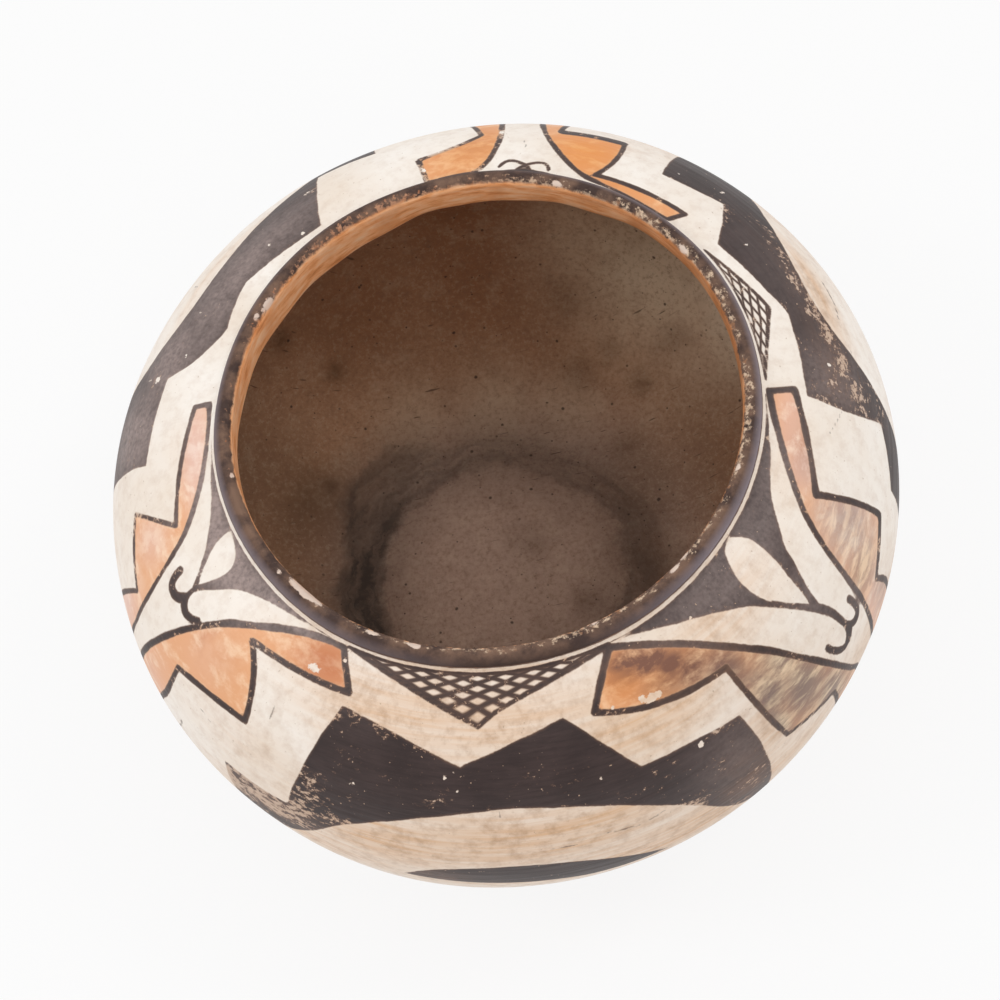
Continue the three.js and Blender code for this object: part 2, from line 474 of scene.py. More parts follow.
# orange feathers: the long line that each hangs from, then its stepped edge
feathers = [
    (2.1, [[(13, 2), (25, 12), (35, 28.5), (40.3, 43.3), (43.7, 55.3), (46.9, 68.6), (49.3, 79),
            (52, 106)]],
     [[(13, 2), (9.5, 9), (6.3, 17.5)], [(6.3, 17.5), (17, 22.7), (29, 25.5)],
      [(29, 25.5), (30.2, 43), (32.5, 61)], [(32.5, 61), (42.5, 67.5)],
      [(42.5, 67.5), (44, 86), (45, 106)]]),
    (2.2, [[(80, 2), (68, 7), (59, 16.5), (55, 28), (53.7, 40), (53.5, 48), (53.8, 66), (56.5, 106)]],
     [[(80, 2), (81, 10.5)], [(81, 10.5), (72, 14), (62, 20)], [(62, 20), (64.5, 34), (66, 47.5)],
      [(66, 47.5), (62, 51), (58, 55.5)], [(58, 55.5), (61, 70), (63.5, 106)]]),
    (1.7, [[(-107.5, 2.8), (-98, 2.7), (-89, 7), (-82.5, 16), (-79.5, 30), (-79, 50), (-81, 68),
            (-83, 106)]],
     [[(-107.5, 2.8), (-107.3, 8)], [(-107.3, 8), (-97, 11.5), (-85, 17.5)],
      [(-85, 17.5), (-89, 26), (-92, 33.5)], [(-92, 33.5), (-81.5, 43)],
      [(-81.5, 43), (-86, 60), (-89, 80), (-90, 106)]]),
    (2.2, [[(-41.5, 1.5), (-50, 3.8), (-58, 10.5), (-65, 20), (-71, 36), (-76, 60), (-79, 85),
            (-79.5, 106)]],
     [[(-41.5, 1.5), (-37, 13)], [(-37, 13), (-48, 14), (-58, 15.5)], [(-58, 15.5), (-54, 24), (-52.3, 37)],
      [(-52.3, 37), (-60, 38.6), (-67, 42)], [(-67, 42), (-68, 56), (-71, 72), (-73, 106)]]),
    (1.9, [[(127, 1), (140, 1.6), (149, 4.5), (155, 13), (159, 26), (160.7, 45), (161.2, 106)]],
     [[(127, 1), (125.5, 7.5)], [(125.5, 7.5), (146, 5.5)], [(146, 5.5), (144.3, 15), (145.5, 30)],
      [(145.5, 30), (156.5, 28)], [(156.5, 28), (156.6, 46), (157.5, 106)]]),
    (1.9, [[(172, 1.2), (168.3, 7), (166.6, 20), (167, 42), (166, 106)]],
     [[(172, 1.2), (181.5, 1)], [(181.5, 1), (182, 14)], [(182, 14), (174.5, 17.5), (170, 23.5)],
      [(170, 23.5), (172, 40), (173, 54)], [(173, 54), (169.5, 63)],
      [(169.5, 63), (170.5, 84), (171, 106)]]),
]

thickLines = [(4.0, [(145.8, 29.2), (155.8, 27.8)])]  # one step that was painted twice as broad

# netted triangles: outline and its line's width, the centre of the lowest mesh, degrees from mesh to mesh,
# how the rows close up towards the neck, and the share that a strand takes
nets = [
    {"edge": [[(-40.5, 0.5), (-30, 4.6), (-22, 9.4), (-13.5, 16)],
              [(-13.5, 16), (-10.3, 12), (-3, 6.9), (5, 3.6), (12.5, 1.5)],
              [(12.5, 1.5), (13, 0.8), (-14, 0.9), (-40.5, 0.5)]],
     "border": 1.5, "cell": (-13.5, 13.2), "across": 2.75, "rise": (0.385, 0.0158), "strand": 0.22},
    {"edge": [[(82.5, 1.2), (90, 3.9), (95, 6.6), (98.8, 9.4)],
              [(98.8, 9.4), (103.5, 6.8), (108, 4.5), (116, 1.6)], [(116, 1.6), (99, 0.9), (82.5, 1.2)]],
     "border": 1.2, "cell": (100, 7.8), "across": 2.65, "rise": (0.8, 0.0), "strand": 0.16},
]

# white flakes: around, down, half length round the bowl and half height in millimetres
flakes = [
    (16.4, 20.2, 3.0, 1.1), (14.4, 19.2, 1.0, 0.7), (9.6, 18.0, 0.8, 0.6), (-45.0, 10.8, 1.6, 1.2),
    (19.8, 40.4, 1.0, 0.9), (-3.6, 24.8, 0.6, 0.5), (-33.2, 38.6, 0.9, 0.8), (29.2, 8.0, 0.7, 0.6),
    (29.4, 4.6, 0.9, 0.7), (-17.0, 35.0, 0.5, 0.5), (-19.0, 31.0, 0.5, 0.5), (-17.4, 29.0, 0.4, 0.4),
    (4.4, 36.4, 0.5, 0.5), (-115.0, 28.0, 1.2, 1.7), (-115.6, 32.5, 0.7, 0.9), (-158.0, 25.5, 1.8, 0.6),
    (-145.0, 14.0, 0.5, 1.1), (-150.6, 6.6, 0.8, 0.8), (-128.0, 21.0, 0.5, 0.9), (-118.8, 17.6, 0.6, 0.5),
    (136.6, 14.6, 1.1, 0.6), (133.4, 24.0, 0.6, 0.5), (126.0, 29.5, 0.7, 1.8), (113.6, 15.8, 0.8, 0.7),
    (181.6, 8.0, 0.7, 1.2), (182.2, 15.0, 1.0, 0.8), (178.0, 16.0, 0.8, 0.6), (-40.0, 5.0, 0.8, 0.6),
    (166.6, 25.0, 0.9, 1.6), (87.0, 24.5, 0.8, 0.6),
]

# thin scratches and stains: width, stroke
scratches = [
    (0.5, [(-11.2, 41.5), (-11, 43.6)]), (0.7, [(97, 35.8), (100, 37.6), (104.4, 38)]),
    (0.6, [(3.5, 57.5), (8, 59)]), (0.5, [(9.4, 58.6), (12, 57.2)]),
    (0.9, [(-64.3, 62), (-65.5, 70), (-67.5, 77)]), (0.5, [(-48.6, 27), (-48.4, 31)]),
    (0.6, [(-6, 58.6), (-1, 59.4)]), (0.4, [(-20, 64.6), (-18, 66)]), (0.5, [(161.4, 14), (162, 18)]),
    (0.5, [(-133.8, 33), (-134, 36)]), (0.4, [(74, 22), (79, 27)]), (0.4, [(86, 37), (91, 36)]),
    (0.4, [(-60.5, 46), (-58, 47)]),
]

# soft patches on the surface: around, down, half width round the bowl, half height, strength
patches = {
    "wear": [
        (-39.5, 43, 6, 5, 0.75), (-39.5, 50, 8, 5, 0.9), (-42, 58, 10, 8, 1.1), (-47, 65, 22, 8, 1.25),
        (-54, 69, 12, 10, 1.3), (-56, 26, 8, 14, 0.42), (-85, 32, 6, 12, 0.5), (-92, 34, 5, 6, 0.6),
        (24, 40, 5, 4, 0.4), (-36, 56, 10, 4, 0.9), (-37.5, 20, 4, 4, 0.45), (-33, 44, 5, 5, 0.4),
        (-51, 84, 18, 10, 0.8), (-29, 20.5, 6, 2, 0.7), (-35, 18, 4, 3, 0.7), (-23, 24, 5, 2, 0.5),
        (22, 51, 7, 4, 0.35), (26, 70, 9, 12, 0.65), (22, 84, 10, 6, 0.9), (16.5, 61, 8, 4, 0.8),
        (9, 46, 8, 3, 0.45), (116, 29, 7, 3, 0.8), (110, 26, 8, 3, 0.85), (104, 24, 8, 3, 0.9),
        (98, 25, 7, 3.4, 1.05), (93, 27.5, 7, 3.4, 1.1), (88, 30, 7, 4, 1.15), (83, 34, 6, 6, 1.15),
        (84, 25, 8, 5, 0.7), (81, 19, 5, 5, 0.7), (90, 19, 6, 4, 0.4), (84, 46, 14, 6, 0.6),
        (122, 22, 5, 5, 0.5), (178, 15, 10, 3, 1.0), (182, 7, 4, 6, 0.8), (-158, 26, 8, 4, 0.5),
        (-115, 29, 4, 5, 0.6), (-105, 40, 14, 8, 0.3), (-14, 15, 8, 2, 0.35), (166.6, 25, 4, 8, 0.8),
        (138, 70, 12, 20, 0.5), (76, 78, 12, 18, 0.5), (-103, 76, 12, 20, 0.4), (-168, 72, 14, 20, 0.5),
        (-86, 41, 5, 3, 0.7), (-64, 44, 5, 3, 0.5), (56, 56, 8, 4, 0.4), (62, 51, 6, 5, 0.7),
        (171, 4, 6, 4, 0.6), (-27, 33, 14, 7, 0.3), (-20, 38.5, 12, 4, 0.4), (-2, 34, 14, 7, 0.26),
        (14, 44, 10, 5, 0.3), (-34, 31, 7, 9, 0.35),
    ],
    "smoke": [
        (36, 46, 9, 12, 0.45), (31, 40, 7, 11, 0.75), (30, 50, 6, 10, 0.85), (41, 62, 9, 12, 0.4),
        (27, 28, 8, 7, 0.6), (34, 44, 15, 18, 0.3), (24, 76, 9, 12, 0.4), (46, 76, 12, 14, 0.35),
        (62, 66, 8, 8, 0.3), (-22, 79, 6, 7, 0.35), (63, 38, 6, 10, 0.25),
    ],
    "brown": [
        (15.5, 7.6, 7, 3, 1.5), (18.6, 11, 7, 3.4, 1.5), (21.5, 14.8, 6, 4, 1.2), (24.5, 19.5, 7, 6, 1.2),
        (28, 25, 9, 8, 1.0), (31, 40, 8, 12, 0.4), (20, 18, 9, 5, 0.75), (16, 10.5, 10, 4, 0.8),
        (26, 24, 12, 8, 0.7), (37, 54, 9, 14, 0.2), (25, 70, 10, 16, 0.9), (22, 84, 10, 8, 0.9),
        (-63, 51, 3.5, 2, 0.9), (-22, 78, 10, 7, 0.9), (69, 16, 10, 6, 0.35), (95, 26, 30, 6, 0.5),
        (-47, 66, 20, 8, 0.85), (-55, 69, 12, 8, 0.9), (-100, 13, 8, 3, 0.2), (172, 16, 9, 9, 0.15),
    ],
    "tan": [
        (-6, 54, 60, 16, 1.0), (-26, 58, 36, 14, 1.0), (10, 78, 80, 16, 0.95), (-12, 16, 50, 14, 0.75),
        (-26, 14, 40, 14, 0.8), (14, 26, 34, 12, 0.75), (-22, 24, 26, 10, 0.6), (30, 52, 26, 16, 0.65),
        (52, 74, 30, 14, 0.6), (32, 32, 14, 12, 0.4), (33, 14, 26, 12, 0.55), (-14, 0, 70, 3, 0.6),
        (40, 0, 50, 3, 0.35), (-40, 74, 40, 16, 0.75), (102, 32, 30, 6, 0.75), (-137, 30, 30, 5, 0.35),
        (130, 48, 50, 18, 0.4), (-110, 72, 80, 20, 0.35), (180, 74, 100, 24, 0.45), (146, 26, 10, 9, 0.25),
        (-52, 44, 26, 12, 0.3), (-100, 14, 8, 4, 0.15), (64, 10, 16, 10, 0.2),
    ],
    # thin black paint, and also painted sheen where black corners and bands face the sides
    "thin": [
        (-73, 7, 28, 10, 1.0), (-58, 3, 20, 4, 0.95), (-86, 4, 20, 6, 1.0), (42, 8, 34, 12, 0.42),
        (62, 8, 20, 10, 0.42), (47, 30, 10, 12, 0.35), (-106, 34, 18, 18, 0.75), (-135, 16, 50, 12, 0.6),
        (-118, 24, 20, 14, 0.7), (84, 24, 14, 14, 0.4), (104, 18, 26, 10, 0.1), (24, 52, 14, 14, 0.25),
        (-100, 5, 22, 6, 0.6), (-86, 20, 8, 8, 0.3), (56, 44, 12, 14, 0.35),
    ],
    "deep": [
        (-43, 8, 12, 8, 1.0), (-60, 26, 6, 8, 0.2), (12, 12, 8, 8, 0.6), (150, 20, 12, 12, 0.5),
        (172, 10, 10, 8, 0.3),
    ],
    "golden": [
        (150, 18, 18, 20, 1.0), (172, 14, 20, 20, 0.75), (140, 5, 24, 5, 0.6), (172, 44, 16, 26, 0.6),
        (13, 12, 10, 8, 0.6), (20, 17, 14, 8, 0.6), (27, 30, 10, 10, 0.3),
    ],
    "pink": [
        (-98, 7, 24, 7, 0.9), (-84, 56, 12, 14, 0.9), (62, 34, 16, 14, 0.95), (74, 10, 22, 7, 0.6),
        (58, 62, 14, 16, 0.9), (-72, 66, 14, 20, 0.4), (-86, 28, 9, 8, 0.55), (-64, 30, 10, 10, 0.2),
        (66, 15, 10, 8, 0.8),
    ],
    "ash": [
        (38, 50, 13, 16, 1.0), (37, 36, 11, 10, 0.95), (33, 42, 10, 12, 0.95), (42, 66, 11, 16, 1.0),
        (28, 30, 9, 9, 0.75), (23, 20, 8, 6, 0.4), (31.5, 55, 8, 12, 1.0), (60, 34, 14, 14, 0.55),
        (57, 46, 12, 10, 0.7), (60, 60, 12, 16, 0.5), (66, 22, 4, 4, 0.4),
    ],
    "faded": [
        (-98, 7, 20, 7, 0.55), (-86, 28, 9, 10, 0.6), (-84, 46, 10, 12, 0.5), (-61, 24, 7, 8, 0.35),
        (60, 37, 7, 14, 0.9),
    ],
}


brushEdge = {
    "perDegree": 1.9,  # millimetres in a degree round the shoulder
    "spacing": 1.6,  # millimetres from point to point of a drawn edge
    "fewest": 3,  # points in a stretch
}
stepLineShare = 0.95  # a feather's stepped edge has a slightly finer line than the one it hangs from


# points along a smooth run, evenly enough for a brush edge
def smoothRun(points):
    knots = np.array(points, float)
    if len(knots) == 2:
        return knots
    scaled = knots * np.array([brushEdge["perDegree"], 1.0])
    t = np.r_[0, np.cumsum(np.sqrt(((scaled[1:] - scaled[:-1]) ** 2).sum(axis=1)))]
    slope = np.zeros_like(knots)
    slope[1:-1] = (knots[2:] - knots[:-2]) / (t[2:] - t[:-2])[:, None]
    slope[0] = 2 * (knots[1] - knots[0]) / (t[1] - t[0]) - slope[1]
    slope[-1] = 2 * (knots[-1] - knots[-2]) / (t[-1] - t[-2]) - slope[-2]
    drawn = []
    for i in range(len(knots) - 1):
        gap = t[i + 1] - t[i]
        count = max(brushEdge["fewest"], int(gap / brushEdge["spacing"]))
        u = np.linspace(0, 1, count, endpoint=False)[:, None]
        drawn.append((2 * u ** 3 - 3 * u ** 2 + 1) * knots[i] + (u ** 3 - 2 * u ** 2 + u) * gap * slope[i]
                     + (3 * u ** 2 - 2 * u ** 3) * knots[i + 1] + (u ** 3 - u ** 2) * gap * slope[i + 1])
    drawn.append(knots[-1:])
    return np.concatenate(drawn)


def joinRuns(runs):
    return np.concatenate([smoothRun(run) for run in runs])


# keeps distances only where they matter, in millimetres; far away stays at the limit
class PaintedSurface:
    limit = 5.0
    leastPerDegree = 0.5
    tiny = 1e-9

    def __init__(self, around, down, radius):
        self.around = around
        self.down = down
        self.perDegree = radius * math.pi / 180

    def nearby(self, line):
        middle = (line[:, 0].min() + line[:, 0].max()) / 2
        turned = turnApart(self.around, middle) + middle
        reach = self.limit / np.maximum(self.perDegree, self.leastPerDegree)
        close = (turned > line[:, 0].min() - reach) & (turned < line[:, 0].max() + reach)
        close &= (self.down > line[:, 1].min() - self.limit) & (self.down < line[:, 1].max() + self.limit)
        index = np.nonzero(close)[0]
        return index, turned[index]

    def lineDistance(self, line, turned, index):
        k = self.perDegree[index]
        down = self.down[index]
        best = np.full(len(index), self.limit ** 2)
        for (x0, y0), (x1, y1) in zip(line[:-1], line[1:]):
            sideX = (x1 - x0) * k
            sideY = y1 - y0
            towardX = (turned - x0) * k
            towardY = down - y0
            length = sideX ** 2 + sideY ** 2 + self.tiny
            share = np.clip((towardX * sideX + towardY * sideY) / length, 0, 1)
            best = np.minimum(best, (towardX - share * sideX) ** 2 + (towardY - share * sideY) ** 2)
        return np.sqrt(best)

    def insideOf(self, line, turned, index):
        down = self.down[index]
        inside = np.zeros(len(index), bool)
        closed = np.r_[line, line[:1]]
        for (x0, y0), (x1, y1) in zip(closed[:-1], closed[1:]):
            if y0 == y1:
                continue
            crosses = (y0 > down) != (y1 > down)
            inside ^= crosses & (turned < (x1 - x0) * (down - y0) / (y1 - y0) + x0)
        return inside

    # below zero inside the outline
    def fillEdge(self, line):
        edge = np.full(len(self.around), self.limit)
        index, turned = self.nearby(line)
        distance = self.lineDistance(np.r_[line, line[:1]], turned, index)
        edge[index] = np.where(self.insideOf(line, turned, index), -distance, distance)
        return edge

    def strokeEdge(self, line, width):
        edge = np.full(len(self.around), self.limit)
        index, turned = self.nearby(line)
        edge[index] = self.lineDistance(line, turned, index) - width / 2
        return edge

    def patchAmount(self, spots):
        amount = np.zeros(len(self.around))
        for around, down, wide, high, strength in spots:
            across = turnApart(self.around, around) * self.perDegree
            fall = np.exp(-(across / wide) ** 2 - ((self.down - down) / high) ** 2)
            amount = np.maximum(amount, strength * fall)
        return amount

    def flakeEdge(self, spots):
        edge = np.full(len(self.around), self.limit)
        for around, down, wide, high in spots:
            across = turnApart(self.around, around) * self.perDegree
            size = min(wide, high)
            edge = np.minimum(edge, (np.hypot(across / wide, (self.down - down) / high) - 1) * size)
        return edge


def paintBowl(piece, around, down, radius):
    surface = PaintedSurface(around, down, radius)
    far = np.full(len(around), surface.limit)
    black, thin, orange, netEdge, scratch = far, far, far, far, far
    for runs in bands.values():
        black = np.minimum(black, surface.fillEdge(joinRuns(runs)))
    for turn, drop in lowerLeafMoves.values():
        black = np.minimum(black, surface.fillEdge(joinRuns(lowerLeaf) + np.array([turn, drop])))
    for name, runs in corners.items():
        edge = surface.fillEdge(joinRuns(runs))
        if name in leaves:
            edge = np.maximum(edge, -surface.fillEdge(joinRuns(leaves[name])))
        black = np.minimum(black, edge)
    for width, stroke in curls + thickLines:
        thin = np.minimum(thin, surface.strokeEdge(smoothRun(stroke), width))
    for width, hangLine, stepLine in feathers:
        hung = joinRuns(hangLine)
        stepped = joinRuns(stepLine)
        orange = np.minimum(orange, surface.fillEdge(np.concatenate([hung, stepped[::-1]])))
        thin = np.minimum(thin, surface.strokeEdge(hung, width))
        thin = np.minimum(thin, surface.strokeEdge(stepped, width * stepLineShare))
    netA, netB, netLine = np.zeros((3, len(around)))
    for net in nets:
        line = joinRuns(net["edge"])
        edge = surface.fillEdge(line)
        near = edge < surface.limit
        across = turnApart(around, net["cell"][0]) / net["across"]
        drop = net["cell"][1] - down
        row = net["rise"][0] * drop + net["rise"][1] * drop ** 2
        netA = np.where(near, (row - across) / 2, netA)
        netB = np.where(near, (row + across) / 2, netB)
        netLine = np.where(near, net["strand"], netLine)
        netEdge = np.minimum(netEdge, edge)
        thin = np.minimum(thin, surface.strokeEdge(line, net["border"]))
    for width, stroke in scratches:
        scratch = np.minimum(scratch, surface.strokeEdge(smoothRun(stroke), width))
    stored = {"blackEdge": black, "thinEdge": thin, "orangeEdge": orange, "netEdge": netEdge, "netA": netA,
              "netB": netB, "netLine": netLine, "scratchEdge": scratch,
              "flakeEdge": surface.flakeEdge(flakes)}
    for name, spots in patches.items():
        stored[name] = surface.patchAmount(spots)
    for name, values in stored.items():
        storeNumbers(piece, name, values)


# Carbon paint: plant juice and soot, brushed on and fired. Brown-black, thin and brown at its edges.
# the pale grey thin tone is thin paint and also painted sheen on black that faces up to the sides
blackPaint = {
    "deep": "#2d1d1b", "soft": "#402f2c", "edge": "#7a5844", "thin": "#9c8983", "lip": "#332522",
    "lipSoft": "#50392f", "lipBrown": "#785c4b", "lipSheenGrey": "#94888f",
}


def blackPaintColour(add, place, edge):
    patch = add("TexNoise", {"Vector": place, "Scale": 1 / 14, "Detail": 4.0, "Roughness": 0.6})
    brush = longNoise(add, place, 9, 1.1, {"Detail": 4.0, "Roughness": 0.65})
    amount = add("Math", {0: patch, 1: brush}, times)
    soft = add("MapRange", {"Value": amount, "From": (0.15, 0.42)})
    colour = add("Mix", {0: soft, 6: blackPaint["deep"], 7: blackPaint["soft"]}, blend, out=2)
    rim = add("MapRange", {"Value": edge, "From": (-0.9, 0.35)}, smooth)
    rim = add("Math", {0: rim, 1: patch}, times)
    return add("Mix", {0: rim, 6: colour, 7: blackPaint["edge"]}, blend, out=2)


# pieces broken from the lip's paint: around, down, half length and half height in millimetres
lipChips = [
    (-54.5, -8.4, 6.6, 1.7), (-62.0, -7.0, 1.0, 0.7), (-36.5, -8.0, 2.0, 0.9), (-27.0, -8.0, 2.1, 1.3),
    (12.0, -8.6, 1.4, 0.8), (33.0, -8.0, 2.2, 1.0), (36.5, -8.8, 1.6, 0.8), (60.0, -8.0, 1.2, 0.8),
    (118.0, -8.4, 1.8, 1.0), (-132.0, -8.6, 3.0, 1.1), (-128.0, -7.6, 1.2, 0.8), (-88.0, -8.4, 1.1, 0.8),
    (152.0, -8.0, 1.6, 0.9),
]


# Black on the lip: worn through to slip and clay along the inner edge of the lip's top
lipBand = {"outerEdge": (-1.3, -1.7), "innerEdge": (-10.2, -9.2)}


def lipBlackMask(add, place, down, chip=None):
    wander = add("TexNoise", {"Vector": place, "Scale": 1 / 5, "Detail": 5.0, "Roughness": 0.7})
    shift = add("Math", {0: wander, 1: 1.1, 2: -0.55}, timesPlus)
    low = add("Math", {0: down, 1: shift}, plus)
    outer = add("MapRange", {"Value": low, "From": lipBand["outerEdge"]})
    ragged = add("Math", {0: wander, 1: 3.6, 2: -1.8}, timesPlus)
    high = add("Math", {0: down, 1: ragged}, plus)
    behind = add("SeparateXYZ", {"Vector": place}, out="Y")  # wider at the back
    high = add("Math", {0: behind, 1: -0.0085, 2: high}, timesPlus)
    inner = add("MapRange", {"Value": high, "From": lipBand["innerEdge"]})
    fleck = longNoise(add, place, 2.6, 1.8, {"Detail": 5.0, "Roughness": 0.7})
    rubbed = add("MapRange", {"Value": down, "From": (-3.8, -8.4), "To": (-0.05, 0.16)}, smooth)
    fleck = add("Math", {0: fleck, 1: rubbed}, plus)
    spread = add("TexNoise", {"Vector": place, "Scale": 1 / 24, "Detail": 2.0})
    fleck = add("Math", {0: spread, 1: 0.36, 2: fleck}, timesPlus)
    # fewer flecks at the left
    frontLeft = add("VectorMath", {0: place, 1: (-0.95, -0.3, 0.0)}, dot, out="Value")
    calm = add("MapRange", {"Value": frontLeft, "From": (70.0, 92.0), "To": (0, -0.12)})
    fleck = add("Math", {0: fleck, 1: calm}, plus)
    gone = add("MapRange", {"Value": fleck, "From": (0.94, 0.84)})
    both = add("Math", {0: outer, 1: inner}, times)
    if chip:
        torn = add("Math", {0: wander, 1: 2.4, 2: chip}, timesPlus)
        whole = add("MapRange", {"Value": torn, "From": (1.05, 1.3)})
        both = add("Math", {0: both, 1: whole}, times)
    return add("Math", {0: both, 1: gone}, times)


# grey-black on the outside, browner where hands have rubbed the top, with a painted pale grey sheen on the
# outer side, strongest on the right
def lipBlackColour(add, place, down, noise):
    black = add("Mix", {0: noise, 6: blackPaint["lip"], 7: blackPaint["lipSoft"]}, blend, out=2)
    blotch = add("MapRange", {"Value": noise, "From": (0.4, 0.62)})
    handled = add("MapRange", {"Value": down, "From": (-2.5, -7.0)})
    handled = add("Math", {0: handled, 1: blotch}, times)
    black = add("Mix", {0: handled, 6: black, 7: blackPaint["lipBrown"]}, blend, out=2)
    # painted sheen: the lip's outer side turns pale grey towards both sides, more on the right
    aside = add("SeparateXYZ", {"Vector": place}, out="X")
    right = add("MapRange", {"Value": aside, "From": (10.0, 85.0), "To": (0, 0.7)})
    aside = add("Math", {0: aside}, {"operation": "ABSOLUTE"})
    aside = add("MapRange", {"Value": aside, "From": (25.0, 95.0), "To": (0, 0.8)})
    aside = add("Math", {0: aside, 1: right}, {"operation": "ADD", "use_clamp": True})
    outer = add("MapRange", {"Value": down, "From": (-6.0, -2.5)})
    aside = add("Math", {0: aside, 1: outer}, times)
    aside = add("Math", {0: aside, 1: 0.85}, timesClamped)
    return add("Mix", {0: aside, 6: black, 7: blackPaint["lipSheenGrey"]}, blend, out=2)


# Underbody slip: thin iron-bearing wash, wiped on with a rag in level strokes over the tan clay
underWash = {"light": "#c99a70", "dark": "#a9744b", "clay": "#b98f6d", "smoke": "#6b4d3a"}


def underWashColour(add, place):
    wipe = longNoise(add, place, 28, 5, {"Detail": 6.0, "Roughness": 0.62})
    cloud = add("TexNoise", {"Vector": place, "Scale": 1 / 32, "Detail": 4.0})
    wiped = add("MapRange", {"Value": wipe, "From": (0.26, 0.74)})
    colour = add("Mix", {0: wiped, 6: underWash["dark"], 7: underWash["light"]}, blend, out=2)
    bare = add("MapRange", {"Value": cloud, "From": (0.5, 0.75), "To": (0, 0.7)}, smooth)
    colour = add("Mix", {0: bare, 6: colour, 7: underWash["clay"]}, blend, out=2)
    smoky = add("MapRange", {"Value": cloud, "From": (0.42, 0.24), "To": (0, 0.5)}, smooth)
    return add("Mix", {0: smoky, 6: colour, 7: underWash["smoke"]}, blend, out=2)


# White slip of fine kaolin, rubbed with a smooth stone: warm white, softly shining, stained by handling.
# On it iron paint fired orange, in watery strokes, and black carbon paint, chipped where it was knocked.
slipFinish = {
    "white": "#f3ece4", "warm": "#e8dacb", "tan": "#d6ab82", "dirt": "#b08a68", "speck": "#a88b70",
    "scratch": "#5d4536", "orange": "#e2a476", "orangePale": "#f3cda9", "orangeDeep": "#c27446",
    "golden": "#e19046", "goldenPale": "#ecab66", "pink": "#e2bbab", "pinkPale": "#f3ddd1",
    "brown": "#7a4f3c", "smoke": "#75645f", "worn": "#b39176", "ash": "#8f7768", "ashPale": "#e2c9a8",
}


